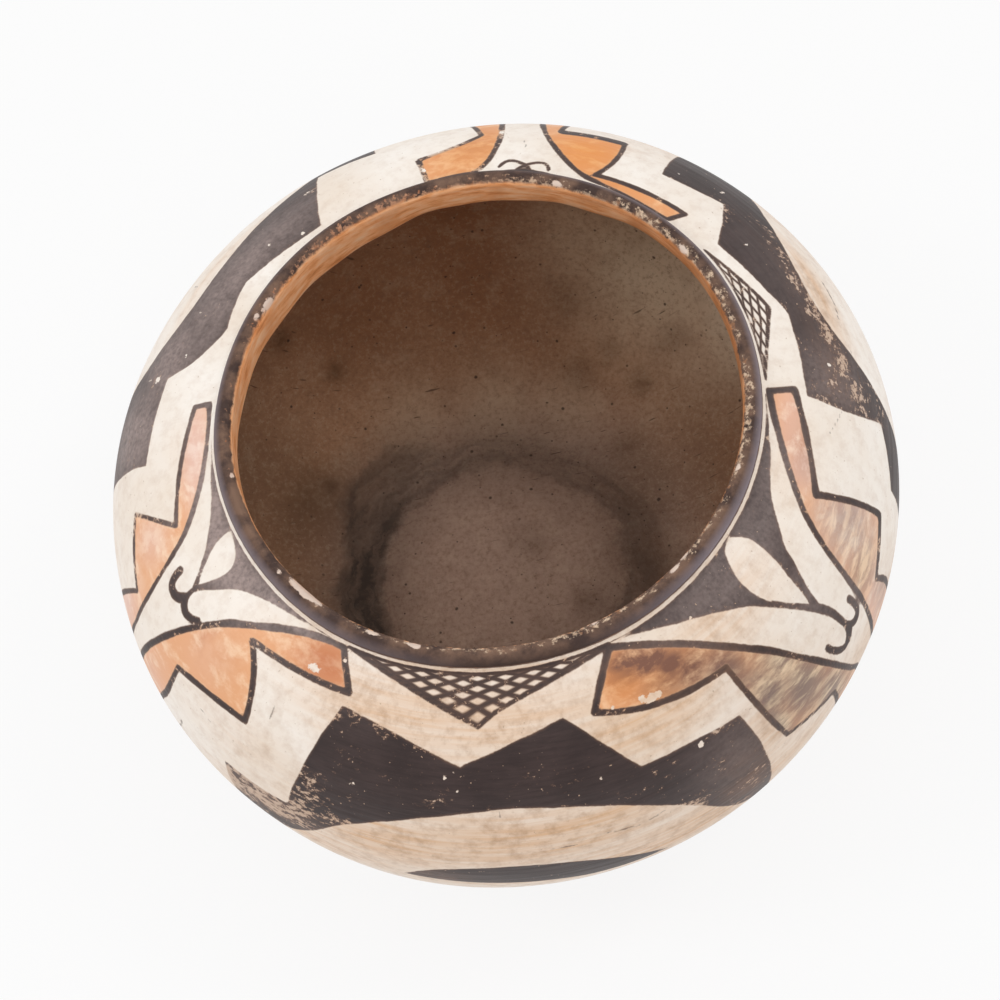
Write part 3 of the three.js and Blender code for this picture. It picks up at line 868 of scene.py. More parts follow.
def paintedSlip():
    material, add = newMaterial("stone-polished painted slip")
    read = {}
    for name in ("down", "blackEdge", "thinEdge", "orangeEdge", "netEdge", "netA", "netB", "netLine",
                 "scratchEdge", "flakeEdge", *patches):
        read[name] = add("Attribute", settings={"attribute_name": name}, out="Fac")
    place = add("Attribute", settings={"attribute_name": "place"}, out="Vector")

    # the brush wanders: slow sway of the hand and the hairs of the yucca brush
    sway = add("TexNoise", {"Vector": place, "Scale": 1 / 8, "Detail": 2.0})
    hairs = add("TexNoise", {"Vector": place, "Scale": 1 / 1.3, "Detail": 2.0})
    wander = add("Math", {0: sway, 1: 1.0, 2: -0.7}, timesPlus)
    wander = add("Math", {0: hairs, 1: 0.42, 2: wander}, timesPlus)

    # slip: white on the shoulder, warmer and tan in patches, most of them at the front and lower down
    cloud = add("TexNoise", {"Vector": place, "Scale": 1 / 36, "Detail": 4.0, "Roughness": 0.55})
    polish = longNoise(add, place, 30, 1.7, {"Detail": 5.0, "Roughness": 0.6})
    mottle = add("TexNoise", {"Vector": place, "Scale": 1 / 4, "Detail": 5.0, "Roughness": 0.65})
    warmth = add("MapRange", {"Value": cloud, "From": (0.3, 0.72)})
    slip = add("Mix", {0: warmth, 6: slipFinish["white"], 7: slipFinish["warm"]}, blend, out=2)
    streak = add("MapRange", {"Value": polish, "From": (0.35, 0.75), "To": (0.55, 1.25)})
    stained = add("Math", {0: read["tan"], 1: streak}, timesClamped)
    slip = add("Mix", {0: stained, 6: slip, 7: slipFinish["tan"]}, blend, out=2)
    dirt = add("MapRange", {"Value": mottle, "From": (0.46, 0.74), "To": (0, 0.66)})
    handled = add("Math", {0: read["tan"], 1: 0.95, 2: 0.34}, timesPlus)
    dirt = add("Math", {0: dirt, 1: handled}, times)
    slip = add("Mix", {0: dirt, 6: slip, 7: slipFinish["dirt"]}, blend, out=2)
    grain = add("TexNoise", {"Vector": place, "Scale": 1 / 0.9, "Detail": 1.0})
    speck = add("MapRange", {"Value": grain, "From": (0.73, 0.8), "To": (0, 0.6)})
    slip = add("Mix", {0: speck, 6: slip, 7: slipFinish["speck"]}, blend, out=2)

    # orange: pools and streaks of a watery wash
    pool = longNoise(add, place, 8, 5, {"Detail": 6.0, "Roughness": 0.62, "Distortion": 0.25})
    tide = add("TexNoise", {"Vector": place, "Scale": 1 / 15, "Detail": 3.0})
    pale = add("MapRange", {"Value": pool, "From": (0.46, 0.7), "To": (0, 0.85)}, smooth)
    settled = add("Math", {0: read["deep"], 1: -0.7, 2: 1.0}, timesPlus)
    pale = add("Math", {0: pale, 1: settled}, times)
    scuff = add("MapRange", {"Value": mottle, "From": (0.42, 0.6), "To": (0.1, 1.1)})
    scuff = add("Math", {0: read["faded"], 1: scuff}, times)
    pale = add("Math", {0: pale, 1: scuff}, larger)
    deep = add("MapRange", {"Value": tide, "From": (0.5, 0.7), "To": (0, 0.5)}, smooth)
    deep = add("Math", {0: deep, 1: read["deep"]}, larger)
    orange = add("Mix", {0: deep, 6: slipFinish["orange"], 7: slipFinish["orangeDeep"]}, blend, out=2)
    orange = add("Mix", {0: pale, 6: orange, 7: slipFinish["orangePale"]}, blend, out=2)
    stroke = longNoise(add, place, 12, 3.2, {"Detail": 6.0, "Roughness": 0.68, "Distortion": 0.3})
    streaky = add("MapRange", {"Value": stroke, "From": (0.46, 0.6)})
    for name, share in (("golden", pale), ("pink", pale), ("ash", streaky)):
        tone = add("Mix", {0: share, 6: slipFinish[name], 7: slipFinish[name + "Pale"]}, blend, out=2)
        orange = add("Mix", {0: read[name], 6: orange, 7: tone}, blend, out=2)

    # where paint has gone: fine chips, more of them in the worn patches
    chip = longNoise(add, place, 2.0, 1.5, {"Detail": 5.0, "Roughness": 0.7})
    chip = add("Math", {0: read["wear"], 1: 0.24, 2: chip}, timesPlus)
    fillEdge = add("Math", {0: read["blackEdge"], 1: wander}, plus)
    frayed = add("MapRange", {"Value": fillEdge, "From": (-2.4, 0.0), "To": (0, 0.13)})
    places = add("MapRange", {"Value": sway, "From": (0.42, 0.62)})
    chip = add("Math", {0: frayed, 1: places, 2: chip}, timesPlus)
    kept = add("MapRange", {"Value": chip, "From": (0.76, 0.71)})
    dotted = add("MapRange", {"Value": grain, "From": (0.79, 0.76)})
    kept = add("Math", {0: kept, 1: dotted}, times)
    flake = add("Math", {0: hairs, 1: 1.8, 2: -2.1}, timesPlus)
    flake = add("Math", {0: mottle, 1: 2.5, 2: flake}, timesPlus)
    flake = add("Math", {0: flake, 1: read["flakeEdge"]}, plus)
    whole = add("MapRange", {"Value": flake, "From": (-0.12, 0.12)})
    kept = add("Math", {0: kept, 1: whole}, times)

    fading = add("MapRange", {"Value": chip, "From": (0.64, 0.76)}, smooth)
    orangeEdge = add("Math", {0: read["orangeEdge"], 1: wander}, plus)
    orangeIn = add("MapRange", {"Value": orangeEdge, "From": (0.3, -0.3)})
    orangeIn = add("Math", {0: orangeIn, 1: whole}, times)
    colour = add("Mix", {0: orangeIn, 6: slip, 7: orange}, blend, out=2)

    # brown and smoky stains soak into slip and wash alike
    soak = add("MapRange", {"Value": pool, "From": (0.66, 0.46), "To": (0.25, 1.0)})
    soaked = add("Math", {0: read["brown"], 1: soak}, times)
    browned = add("Math", {0: soaked, 1: orangeIn}, times)
    colour = add("Mix", {0: browned, 6: colour, 7: slipFinish["brown"]}, blend, out=2)
    smoked = add("Math", {0: read["smoke"], 1: soak}, times)
    inWash = add("MapRange", {"Value": orangeIn, "To": (0.12, 1.0)})
    smoked = add("Math", {0: smoked, 1: inWash}, times)
    colour = add("Mix", {0: smoked, 6: colour, 7: slipFinish["smoke"]}, blend, out=2)

    # black fills, thin lines, nets and the lip's band
    lineEdge = add("Math", {0: wander, 1: 0.8, 2: read["thinEdge"]}, timesPlus)
    netSway = add("Math", {0: sway, 1: 0.3, 2: -0.15}, timesPlus)
    strand = []
    for name in ("netA", "netB"):
        moved = add("Math", {0: read[name], 1: netSway}, plus)
        swing = add("Math", {0: moved, 1: 0.5}, {"operation": "PINGPONG"})
        strand.append(add("Math", {0: 0.5, 1: swing}, minus))
    nearest = add("Math", {0: strand[0], 1: strand[1], 2: 0.2}, {"operation": "SMOOTH_MIN"})
    strandIn = add("Math", {0: nearest, 1: read["netLine"]}, minus)
    strandIn = add("Math", {0: strandIn, 1: 2.4}, times)
    netEdge = add("Math", {0: read["netEdge"], 1: strandIn}, larger)
    edge = add("Math", {0: fillEdge, 1: lineEdge}, smaller)
    edge = add("Math", {0: edge, 1: netEdge}, smaller)
    blackIn = add("MapRange", {"Value": edge, "From": (0.16, -0.16)})
    blackIn = add("Math", {0: blackIn, 1: kept}, times)
    lipIn = lipBlackMask(add, place, read["down"])
    blackIn = add("Math", {0: blackIn, 1: lipIn}, larger)
    black = blackPaintColour(add, place, edge)
    # thin paint and painted sheen: black mixed towards pale grey in the thin patches
    cover = add("Math", {0: mottle, 1: hairs}, plus)
    cover = add("MapRange", {"Value": cover, "From": (0.7, 1.3), "To": (0.5, 1.3)})
    thinPaintAndSheen = add("Math", {0: read["thin"], 1: cover}, timesClamped)
    black = add("Mix", {0: thinPaintAndSheen, 6: black, 7: blackPaint["thin"]}, blend, out=2)
    browner = add("Math", {0: soaked, 1: 0.8, 2: fading}, timesPlus)
    browner = add("Math", {0: browner, 1: 0.8}, timesClamped)
    black = add("Mix", {0: browner, 6: black, 7: blackPaint["edge"]}, blend, out=2)
    rubbed = add("MapRange", {"Value": edge, "From": (0.3, -0.3), "To": (0, 0.75)})
    rubbed = add("Math", {0: rubbed, 1: whole}, times)
    colour = add("Mix", {0: rubbed, 6: colour, 7: slipFinish["worn"]}, blend, out=2)
    colour = add("Mix", {0: blackIn, 6: colour, 7: black}, blend, out=2)

    scratched = add("Math", {0: hairs, 1: 0.8, 2: read["scratchEdge"]}, timesPlus)
    scratched = add("MapRange", {"Value": scratched, "From": (0.6, 0.2), "To": (0, 0.75)})
    colour = add("Mix", {0: scratched, 6: colour, 7: slipFinish["scratch"]}, blend, out=2)

    # the underbody wash runs up over the slip's lower edge
    washTop = add("Math", {0: sway, 1: 5.0, 2: read["down"]}, timesPlus)
    washIn = add("MapRange", {"Value": washTop, "From": (joinDown - 3.2, joinDown - 1.6)})
    colour = add("Mix", {0: washIn, 6: colour, 7: underWashColour(add, place)}, blend, out=2)

    shine = add("MapRange", {"Value": polish, "From": (0.3, 0.7), "To": (0.4, 0.56)})
    paintRough = add("Math", {0: blackIn, 1: 0.04, 2: shine}, timesPlus)
    ridge = add("Math", {0: mottle, 1: 0.5, 2: polish}, timesPlus)
    ridge = add("Math", {0: blackIn, 1: 0.12, 2: ridge}, timesPlus)
    bareSurface(add, colour, paintRough, ridge, 0.35, 0.0004)
    return material


def underbodySlip():
    material, add = newMaterial("wiped iron-wash underbody slip")
    place = add("Attribute", settings={"attribute_name": "place"}, out="Vector")
    wipe = longNoise(add, place, 28, 4, {"Detail": 6.0, "Roughness": 0.65})
    rough = add("MapRange", {"Value": wipe, "From": (0.3, 0.7), "To": (0.55, 0.75)})
    bareSurface(add, underWashColour(add, place), rough, wipe, 0.4, 0.0005)
    return material


# Orange slip wiped round inside the lip with a finger: soft level streaks, thin at its lower edge
lipFinish = {"orange": "#f7ab70", "light": "#fbcda4", "dark": "#c4733b", "brown": "#a86a3c"}


def lipColour(add, place):
    wipe = longNoise(add, place, 13, 1.7, {"Detail": 5.0, "Roughness": 0.65})
    cloud = add("TexNoise", {"Vector": place, "Scale": 1 / 18, "Detail": 4.0})
    lighter = add("MapRange", {"Value": wipe, "From": (0.44, 0.68), "To": (0, 0.9)})
    colour = add("Mix", {0: lighter, 6: lipFinish["orange"], 7: lipFinish["light"]}, blend, out=2)
    darker = add("MapRange", {"Value": cloud, "From": (0.5, 0.72), "To": (0, 0.5)})
    streaked = add("MapRange", {"Value": wipe, "From": (0.5, 0.32), "To": (0, 0.75)})
    darker = add("Math", {0: darker, 1: streaked}, larger)
    colour = add("Mix", {0: darker, 6: colour, 7: lipFinish["dark"]}, blend, out=2)
    side = add("SeparateXYZ", {"Vector": place}, out="X")  # browner on the right
    side = add("MapRange", {"Value": side, "From": (20.0, 85.0), "To": (0, 1.2)})
    side = add("Math", {0: side, 1: cloud}, timesClamped)
    return add("Mix", {0: side, 6: colour, 7: lipFinish["brown"]}, blend, out=2), wipe


def lipSlip():
    material, add = newMaterial("finger-wiped orange lip slip")
    place = add("Attribute", settings={"attribute_name": "place"}, out="Vector")
    down = add("Attribute", settings={"attribute_name": "down"}, out="Fac")
    colour, wipe = lipColour(add, place)
    black = lipBlackColour(add, place, down, wipe)
    colour = add("Mix", {0: lipBlackMask(add, place, down), 6: colour, 7: black}, blend, out=2)
    bareSurface(add, colour, 0.6, wipe, 0.35, 0.0004)
    return material


# Fired clay, scraped inside with a gourd rind and left bare: dull tan-brown with fine grit, dark pits, drag
# marks and a dark ring where the floor meets the wall. The light and dim tones are painted light and
# painted shade inside.
clayFinish = {
    "floor": "#ad907e", "wall": "#a87f60", "warm": "#7d471f", "dim": "#6e4f37", "grey": "#cab296",
    "light": "#efdcc2", "dark": "#785a46", "ringDark": "#40332a", "pit": "#33241b", "stain": "#4f341a",
    "lipFleck": "#cbb197", "lipBrown": "#8a6349", "lipWarm": "#a9673f", "lipPale": "#dcc8ba",
}

darkFloorRing = {  # millimetres
    "centre": (7.0, -5.0, 0.0),  # what is added to a place, so the ring lies left of the axis and behind it
    "bend": 14.0,
    "ripple": 10.0,
    "inner": (48.0, 57.0),
    "outer": (73.0, 62.0),
    "hazeInner": (32.0, 58.0),
    "hazeOuter": (80.0, 64.0),
    "wideSide": (-0.6, 0.8, 0.0),  # towards the left and the back
    "widening": -8.0,
}

# marks inside: x, y, z and reach in millimetres, then strength
insideSpots = {
    "stain": [
        (-63, 49, 18, 9, 0.6), (-57, 50, 16, 3.5, 1.0), (34, 88, 34, 7, 0.5), (66, 66, 30, 6, 0.4),
        (-88, 40, 40, 8, 0.3), (-61, 91, 49, 4, 0.8), (-46, 84, 31, 4, 0.7), (34, 70, 17, 6, 0.5),
        (54, 60, 18, 4, 0.6), (46, 73, 22, 4, 0.4), (20, -12, 12, 5, 0.5), (6, 14, 13, 8, 0.3),
        (44, 42, 9, 6, 0.4), (46, -10, 10, 15, 0.4), (44, 12, 9, 12, 0.3),
    ],
    # warm brown high on the back wall; the two on the right-hand wall also darken it as painted shade
    "warm": [
        (10, 114, 72, 40, 0.85), (16, 108, 44, 40, 0.7), (-34, 102, 46, 36, 0.55), (-70, 90, 80, 40, 0.5),
        (96, -10, 50, 40, 0.5), (84, 30, 26, 22, 0.4),
    ],
    # painted light: pale patches on the right-hand wall and on the floor at the back
    "pale": [
        (66, 86, 48, 30, 1.0), (90, 60, 52, 26, 1.0), (48, 98, 50, 24, 0.6), (76, 62, 30, 24, 0.4),
        (26, 62, 12, 14, 0.35), (-24, 70, 15, 14, 0.35), (5, 67, 12, 16, 0.4),
    ],
    # painted light on the right-hand wall towards the back
    "light": [(94, 56, 56, 22, 0.6), (88, 64, 66, 18, 0.5)],
    # painted shade: darker patches low on the walls at both sides
    "dim": [
        (49, 28, 10, 20, 0.6), (66, 24, 12, 24, 0.5), (70, 38, 17, 24, 0.4), (43, -1, 10, 14, 0.5),
        (70, 54, 24, 22, 0.15), (-69, 39, 17, 20, 0.75), (-56, 52, 16, 12, 0.4), (-80, 10, 24, 30, 0.6),
        (-78, 54, 30, 26, 0.6),
    ],
}


def scrapedClay():
    material, add = newMaterial("scraped bare fired clay")
    read = {}
    for name in ("down", *insideSpots, "lipChip"):
        read[name] = add("Attribute", settings={"attribute_name": name}, out="Fac")
    down = read["down"]
    place = add("Attribute", settings={"attribute_name": "place"}, out="Vector")
    spot = add("TexCoord", out="Object")
    spot = add("VectorMath", {0: spot, "Scale": 1000.0}, {"operation": "SCALE"})
    cloud = add("TexNoise", {"Vector": spot, "Scale": 1 / 42, "Detail": 4.0})
    mottle = add("TexNoise", {"Vector": spot, "Scale": 1 / 9, "Detail": 6.0, "Roughness": 0.65})
    grit = add("TexNoise", {"Vector": spot, "Scale": 1 / 1.6, "Detail": 4.0, "Roughness": 0.75})
    indoors = add("MapRange", {"Value": down, "From": (-20.0, -24.0)})

    # the wall is brown, warmer high at the back; the floor is greyer and lighter, partly painted light
    # falling on the floor, then the spots of painted light and painted shade
    flat = add("VectorMath", {0: spot, 1: (1.0, 1.0, 0.0)}, times)
    radius = add("VectorMath", {0: flat}, {"operation": "LENGTH"}, out="Value")
    inner = add("MapRange", {"Value": radius, "From": (84.0, 50.0)}, smooth)
    colour = add("Mix", {0: inner, 6: clayFinish["wall"], 7: clayFinish["floor"]}, blend, out=2)
    for name, tone in (("warm", "warm"), ("pale", "grey"), ("light", "light"), ("dim", "dim")):
        colour = add("Mix", {0: read[name], 6: colour, 7: clayFinish[tone]}, blend, out=2)
    # dark and light clouds, then dark sand and pale quartz: where each begins and ends, and how much of it
    flecks = [(mottle, 0.5, 0.76, 0.34, "dark"), (mottle, 0.48, 0.28, 0.2, "grey"),
              (grit, 0.5, 0.72, 0.6, "dark"), (grit, 0.48, 0.3, 0.26, "grey")]
    for source, begin, full, most, tone in flecks:
        share = add("MapRange", {"Value": source, "From": (begin, full), "To": (0, most)})
        colour = add("Mix", {0: share, 6: colour, 7: clayFinish[tone]}, blend, out=2)
    soaked = add("MapRange", {"Value": mottle, "From": (0.3, 0.6), "To": (0.5, 1.0)})
    soaked = add("Math", {0: soaked, 1: read["stain"]}, times)
    colour = add("Mix", {0: soaked, 6: colour, 7: clayFinish["stain"]}, blend, out=2)

    # dark ring round the floor where it meets the wall, broken by the mottling
    offCentre = add("VectorMath", {0: flat, 1: darkFloorRing["centre"]}, plus)
    aside = add("VectorMath", {0: offCentre}, {"operation": "LENGTH"}, out="Value")
    bent = add("Math", {0: cloud, 1: darkFloorRing["bend"], 2: aside}, timesPlus)
    bent = add("Math", {0: mottle, 1: darkFloorRing["ripple"], 2: bent}, timesPlus)
    heading = add("VectorMath", {0: offCentre}, {"operation": "NORMALIZE"})
    leftBack = add("VectorMath", {0: heading, 1: darkFloorRing["wideSide"]}, dot, out="Value")
    widen = add("MapRange", {"Value": leftBack, "From": (0.88, 0.99), "To": (0, darkFloorRing["widening"])})
    outward = add("Math", {0: bent, 1: widen}, plus)
    rise = add("MapRange", {"Value": bent, "From": darkFloorRing["inner"]}, smooth)
    fall = add("MapRange", {"Value": outward, "From": darkFloorRing["outer"]}, smooth)
    ring = add("Math", {0: rise, 1: fall}, times)
    heading = add("VectorMath", {0: heading, "Scale": 3.2}, {"operation": "SCALE"})
    heading = add("SeparateXYZ", {"Vector": heading}).node
    across = add("Math", {0: bent, 1: 1 / 3.0}, times)
    along = add("CombineXYZ", {"X": heading.outputs["X"], "Y": heading.outputs["Y"], "Z": across})
    swept = add("TexNoise", {"Vector": along, "Scale": 1.0, "Detail": 4.0, "Roughness": 0.6})
    broken = add("MapRange", {"Value": swept, "From": (0.34, 0.62), "To": (0.66, 1.0)})
    ring = add("Math", {0: ring, 1: broken}, times)
    # painted shade: the ring is heavier to the left
    sideways = add("SeparateXYZ", {"Vector": spot}, out="X")
    ringShadeLeft = add("MapRange", {"Value": sideways, "From": (45.0, -45.0), "To": (0.55, 1.1)})
    ring = add("Math", {0: ring, 1: ringShadeLeft}, times)
    # painted light: the ring is weaker at the back
    inward = add("SeparateXYZ", {"Vector": spot}, out="Y")
    lighter = add("MapRange", {"Value": inward, "From": (20.0, 60.0), "To": (1.0, 0.65)})
    ring = add("Math", {0: ring, 1: lighter}, times)
    near = add("MapRange", {"Value": bent, "From": darkFloorRing["hazeInner"], "To": (0, 0.3)}, smooth)
    far = add("MapRange", {"Value": outward, "From": darkFloorRing["hazeOuter"]}, smooth)
    haze = add("Math", {0: near, 1: far}, times)
    haze = add("Math", {0: haze, 1: ringShadeLeft}, times)
    ring = add("Math", {0: ring, 1: haze}, larger)
    ring = add("Math", {0: ring, 1: indoors}, times)
    colour = add("Mix", {0: ring, 6: colour, 7: clayFinish["ringDark"]}, blend, out=2)

    # burnt-out pits of temper: some 3.4 mm apart and up to 1 mm across, and finer ones between
    pitted = 0.0
    for gap, fewest in ((3.4, 0.48), (1.7, 0.6)):
        cell = add("TexVoronoi", {"Vector": spot, "Scale": 1 / gap}, out="Distance")
        keep = add("TexVoronoi", {"Vector": spot, "Scale": 1 / gap}, out="Color")
        size = add("MapRange", {"Value": keep, "From": (fewest, 0.9), "To": (-0.06, 0.17)})
        pit = add("Math", {0: cell, 1: size}, minus)
        pit = add("Math", {0: grit, 1: 0.3, 2: pit}, timesPlus)
        pit = add("MapRange", {"Value": pit, "From": (0.2, 0.1), "To": (0, 0.8)})
        pitted = add("Math", {0: pitted, 1: pit}, larger)

    # hairline drag marks, short and few
    drawn = add("Mapping", {"Vector": spot, "Rotation": (0.5, 0.4, 0.9), "Scale": (1 / 9, 1 / 0.9, 1 / 9)})
    hair = add("TexNoise", {"Vector": drawn, "Scale": 1.0, "Detail": 2.0})
    hair = add("MapRange", {"Value": hair, "From": (0.7, 0.76), "To": (0, 0.65)})
    hair = add("Math", {0: hair, 1: indoors}, times)
    marks = add("Math", {0: hair, 1: pitted}, larger)
    colour = add("Mix", {0: marks, 6: colour, 7: clayFinish["pit"]}, blend, out=2)

    # lip: bare flecks show slip, under the black paint
    onLip = add("MapRange", {"Value": down, "From": (-24.0, -20.0)})
    fleck = add("TexNoise", {"Vector": place, "Scale": 1 / 3.5, "Detail": 3.0})
    fleck = add("MapRange", {"Value": fleck, "From": (0.36, 0.52)})
    orange, wipe = lipColour(add, place)
    rubbed = add("Mix", {0: fleck, 6: clayFinish["lipBrown"], 7: clayFinish["lipFleck"]}, blend, out=2)
    behind = add("VectorMath", {0: place, 1: (-0.8, 0.6, 0.0)}, dot, out="Value")
    behind = add("MapRange", {"Value": behind, "From": (10.0, 70.0), "To": (0, 0.7)})
    rubbed = add("Mix", {0: behind, 6: rubbed, 7: clayFinish["lipWarm"]}, blend, out=2)
    broken = add("MapRange", {"Value": read["lipChip"], "From": (0.5, -0.1), "To": (0, 0.85)})
    rubbed = add("Mix", {0: broken, 6: rubbed, 7: clayFinish["lipPale"]}, blend, out=2)
    onTop = add("MapRange", {"Value": down, "From": (-9.6, -8.6)})
    onTop = add("Math", {0: onTop, 1: broken}, larger)
    lipBare = add("Mix", {0: onTop, 6: orange, 7: rubbed}, blend, out=2)
    upper = add("MapRange", {"Value": down, "From": (20.0, 10.0)})
    onLip = add("Math", {0: onLip, 1: upper}, times)
    colour = add("Mix", {0: onLip, 6: colour, 7: lipBare}, blend, out=2)
    black = lipBlackColour(add, place, down, mottle)
    painted = lipBlackMask(add, place, down, read["lipChip"])
    colour = add("Mix", {0: painted, 6: colour, 7: black}, blend, out=2)

    drag = longNoise(add, place, 16, 1.4, {"Detail": 4.0})
    height = add("Math", {0: grit, 1: 0.5, 2: drag}, timesPlus)
    height = add("Math", {0: pitted, 1: -0.8, 2: height}, timesPlus)
    rough = add("MapRange", {"Value": grit, "From": (0.3, 0.7), "To": (0.78, 0.92)})
    bareSurface(add, colour, rough, height, 0.5, 0.0005)
    return material


foot = {  # millimetres
    "middleDown": 60,  # down at the axis, counted from the foot's edge
    "hollowDown": 50,  # of which the hollow takes this much
    "ringStart": (2, 8),  # out from the hollow, and down
    "edge": [(3, 0.0, 3), (0.8, 0.25, 1)],  # in from the foot's radius, height, and down
    "wallStart": 1.5,
}


# the clay body: one wall from the axis below, over the foot and lip, to the axis inside
def claySection():
    ringInner = bowl["footRadius"] - bowl["footRingWidth"]
    section = []
    for share in np.linspace(0, 1, rowCount["hollow"]):
        down = footDown + foot["middleDown"] - foot["hollowDown"] * share
        section.append((ringInner * share, bowl["baseHollow"] * (1 - share ** 2), down))
    section.append((ringInner + foot["ringStart"][0], 0.0, footDown + foot["ringStart"][1]))
    for inward, z, past in foot["edge"]:
        section.append((bowl["footRadius"] - inward, z, footDown + past))
    bareRows = list(np.linspace(footDown - foot["wallStart"], bareDown, rowCount["bareFoot"]))
    for down in bareRows + underRows[::-1][1:] + coatRows[::-1][1:]:
        section.append((*wallPoint(down), float(down)))
    topZ = bowl["height"] - lipRound
    for angle in np.linspace(0, math.pi, rowCount["lipRound"])[1:]:
        r = bowl["mouthRadius"] - lipRound + lipRound * math.cos(angle)
        section.append((r, topZ + lipRound * math.sin(angle), lipDown - lipRound * angle))
    section += insideLine()
    section[-1] = (0.0, *section[-1][1:])
    return section


# a coat of slip: its face in fine rows, its back on the clay's own rows, thin at both ends
def coatSection(rows, backRows, endThickness):
    section = []
    for down in rows:
        thick = bowl["slip"]
        for fromEnd, end in zip((down - rows[0], rows[-1] - down), endThickness):
            share = np.clip(fromEnd / bowl["slipTaper"], 0, 1)
            thick = min(thick, end + (bowl["slip"] - end) * share)
        section.append((*wallPoint(down, thick), float(down)))
    for down in backRows[::-1]:
        section.append((*wallPoint(down, bowl["slipGap"]), float(down)))
    return section + [section[0]]


lipCoat = {  # millimetres
    "depth": 16.5,  # down from the lip's round
    "tip": 0.05,  # share of the end rows that the thin tips take
    "thickness": (0.04, 0.045, 0.08, 0.14, 0.2),  # from the tips to the middle
    "back": 0.02,
}


def lipBandSection():
    face = [p for p in insideLine() if p[2] > lipDown - math.pi * lipRound - lipCoat["depth"]]
    tips = []
    for end, near in ((0, 1), (-1, -2)):
        tips.append(tuple(a + lipCoat["tip"] * (b - a) for a, b in zip(face[end], face[near])))
    face = [face[0], tips[0]] + face[1:-1] + [tips[1], face[-1]]
    front = []
    back = []
    last = len(face) - 1
    for i, (r, z, down) in enumerate(face):
        before = face[max(i - 1, 0)]
        after = face[min(i + 1, last)]
        alongR, alongZ = after[0] - before[0], after[1] - before[1]
        size = math.hypot(alongR, alongZ)
        middle = len(lipCoat["thickness"]) - 1
        thick = lipCoat["thickness"][min(i, last - i, middle)]
        for side, away in ((front, thick), (back, lipCoat["back"])):
            side.append((r + away * alongZ / size, z - away * alongR / size, down))
    return front + back[::-1] + [front[0]]


def makePiece(name, section, steps, material, nodes):
    piece = turnPiece(name, section, steps)
    around, down, radius = surfacePlace(piece, section)
    storePlace(piece, around, down)
    handShape(piece, around, down)
    piece.data.materials.append(material)
    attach(piece, "root")
    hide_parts(*nodes)
    print(name, len(piece.data.vertices), "vertices")
    return piece, around, down, radius


coilNodes = ["wall_coil_%02d" % number for number in range(1, 11)]
clayBody, *clayPlace = makePiece("clay_body", claySection(), stepCount["plain"], scrapedClay(),
                                 ["base_pat", "rim_coil"] + coilNodes)
storeNumbers(clayBody, "lipChip", PaintedSurface(*clayPlace).flakeEdge(lipChips))
clayPoints = meshPoints(clayBody)
for name, spots in insideSpots.items():
    amount = np.zeros(len(clayPoints))
    for x, y, z, reach, strength in spots:
        fall = np.exp(-((clayPoints - (x, y, z)) ** 2).sum(axis=1) / reach ** 2)
        amount = np.maximum(amount, strength * fall)
    storeNumbers(clayBody, name, amount)

fineRows = list(np.linspace(lipDown, bowl["finePaint"], rowCount["shoulderFace"]))
fineRows += list(np.linspace(bowl["finePaint"], joinDown, rowCount["lowerFace"]))[1:]
whiteCoat = coatSection(fineRows, coatRows, (bowl["slipTopEdge"], bowl["slip"]))
coat = makePiece("white_slip_coat", whiteCoat, stepCount["painted"], paintedSlip(),
                 ["white_slip"])
paintBowl(*coat)
print("painted")

underFace = list(np.linspace(joinDown, bareDown, rowCount["underFace"]))
underCoat = coatSection(underFace, underRows, (bowl["slip"], bowl["slipFootEdge"]))
makePiece("underbody_slip_coat", underCoat, stepCount["plain"], underbodySlip(),
          ["underbody_slip"])
makePiece("inner_lip_slip_coat", lipBandSection(), stepCount["plain"], lipSlip(),
          ["inner_lip_slip"])


# a pale floor that keeps the shadow, white all round but dimmer in front, a soft lamp high on either side
# and one by the camera that lights the inside and leaves no shine
stage = {
    "floor": "#fbfbfb", "floorSize": 14.0, "skyFront": 0.54, "skyBack": 0.91, "floorGlow": 0.9,
    "lampAim": (0, 0, 0.08),
}
lamps = {  # watts, size, place, and whether it shines on glossy paint
    "left_softbox": (6.0, 0.45, (-1.3, 0.0, 1.6), True),
    "right_softbox": (5.5, 0.45, (1.1, 0.0, 1.9), True),
    "front_softbox": (4.5, 0.6, (0.1, -1.2, 1.6), False),
}


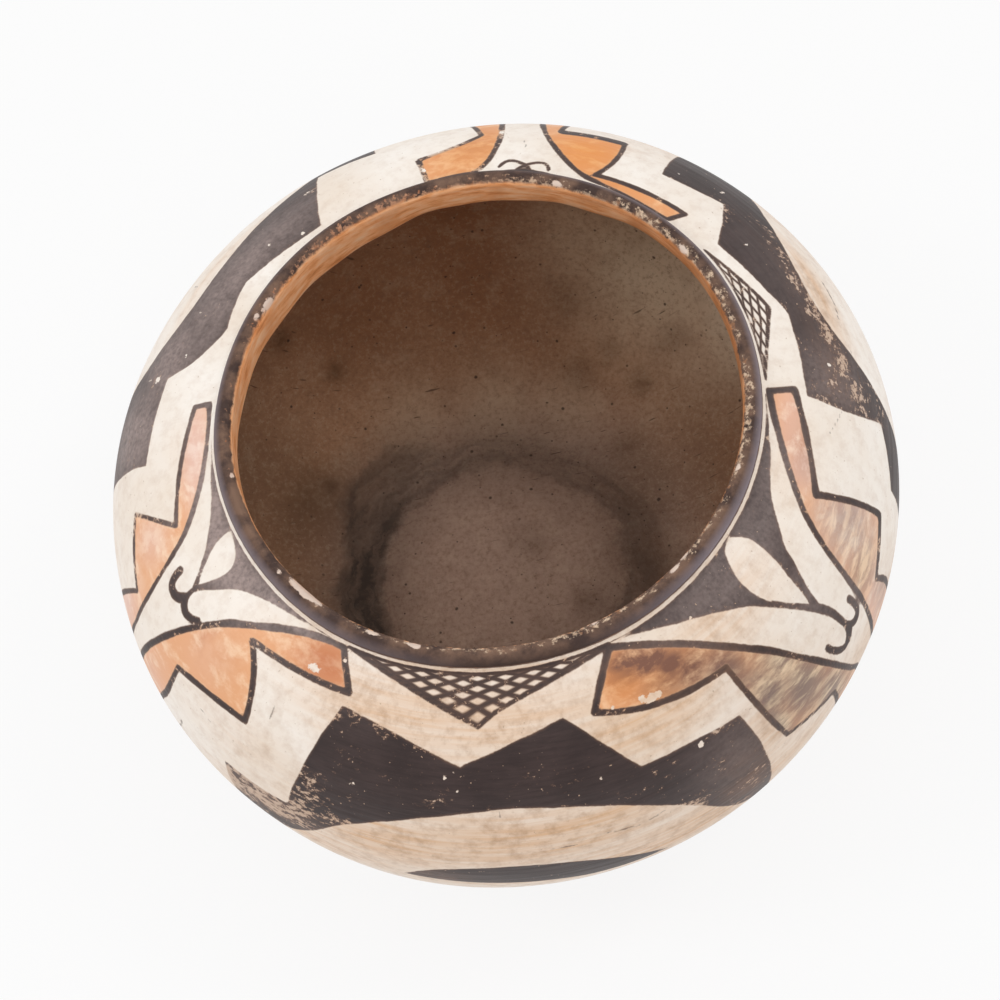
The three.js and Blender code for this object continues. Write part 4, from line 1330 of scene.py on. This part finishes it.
def makeStage():
    bpy.ops.object.select_all(action="DESELECT")
    bpy.ops.mesh.primitive_plane_add(size=stage["floorSize"], location=(0, 0, 0))
    floor = bpy.context.object
    floor.name = "studio_floor"
    material, add = newMaterial("white paper floor")
    path = add("LightPath").node
    seen = add("Math", {0: path.outputs["Is Camera Ray"], 1: path.outputs["Is Glossy Ray"]}, larger)
    seen = add("Math", {0: seen, 1: path.outputs["Is Transmission Ray"]}, larger)
    paper = add("BsdfDiffuse", {"Color": stage["floor"]})
    glow = add("Emission", {"Color": stage["floor"], "Strength": 1.0})
    half = add("Math", {0: seen, 1: stage["floorGlow"]}, times)
    both = add("MixShader", {0: half, 1: paper, 2: glow})
    add("OutputMaterial", {"Surface": both})
    floor.data.materials.append(material)

    world = bpy.data.worlds.new("white studio")
    bpy.context.scene.world = world
    world.use_nodes = True
    world.node_tree.nodes.clear()
    add = partial(addNode, world.node_tree)
    path = add("LightPath").node
    toward = add("TexCoord", out="Generated")
    behind = add("SeparateXYZ", {"Vector": toward}, out="Y")
    level = add("MapRange", {"Value": behind, "From": (-0.9, 0.2),
                             "To": (stage["skyFront"], stage["skyBack"])}, smooth)
    seen = add("Math", {0: path.outputs["Is Camera Ray"], 1: path.outputs["Is Transmission Ray"]}, larger)
    level = add("Mix", {0: seen, 2: level, 3: 1.0}, {"data_type": "FLOAT"})
    sky = add("Background", {"Color": (1.0, 1.0, 1.0, 1.0), "Strength": level})
    add("OutputWorld", {"Surface": sky})

    for name, (power, size, place, shines) in lamps.items():
        bpy.ops.object.light_add(type="AREA", location=place)
        lamp = bpy.context.object
        lamp.name = name
        lamp.data.energy = power
        lamp.data.size = size
        lamp.visible_glossy = shines
        lamp.rotation_euler = (Vector(stage["lampAim"]) - Vector(place)).to_track_quat("-Z", "Y").to_euler()
    bpy.context.scene.view_settings.view_transform = "Standard"


# the photograph's view: from the front and above, leaning a little to the left
view = {
    "distance": 0.992, "height": 63.77, "roll": (0.9736, 0.2284), "aim": (0, 0, 0.082),
    "offset": (-0.00116, -0.00241), "lens": 113.9, "sensor": 36,
}


def makeCamera():
    lift = math.radians(view["height"])
    back = Vector((0, -math.cos(lift), math.sin(lift)))
    right = Vector((1, 0, 0))
    up = Vector((0, math.sin(lift), math.cos(lift)))
    imageRight = view["roll"][0] * right - view["roll"][1] * up
    imageUp = view["roll"][1] * right + view["roll"][0] * up
    aim = Vector(view["aim"]) + view["offset"][0] * imageRight + view["offset"][1] * imageUp
    bpy.ops.object.camera_add(location=aim + view["distance"] * back)
    camera = bpy.context.object
    camera.name = "photo_camera"
    camera.rotation_euler = Matrix((imageRight, imageUp, back)).transposed().to_euler()
    camera.data.lens = view["lens"]
    camera.data.sensor_width = view["sensor"]
    camera.data.dof.use_dof = False
    bpy.context.scene.camera = camera


makeStage()
makeCamera()
print("stage, light and camera set")
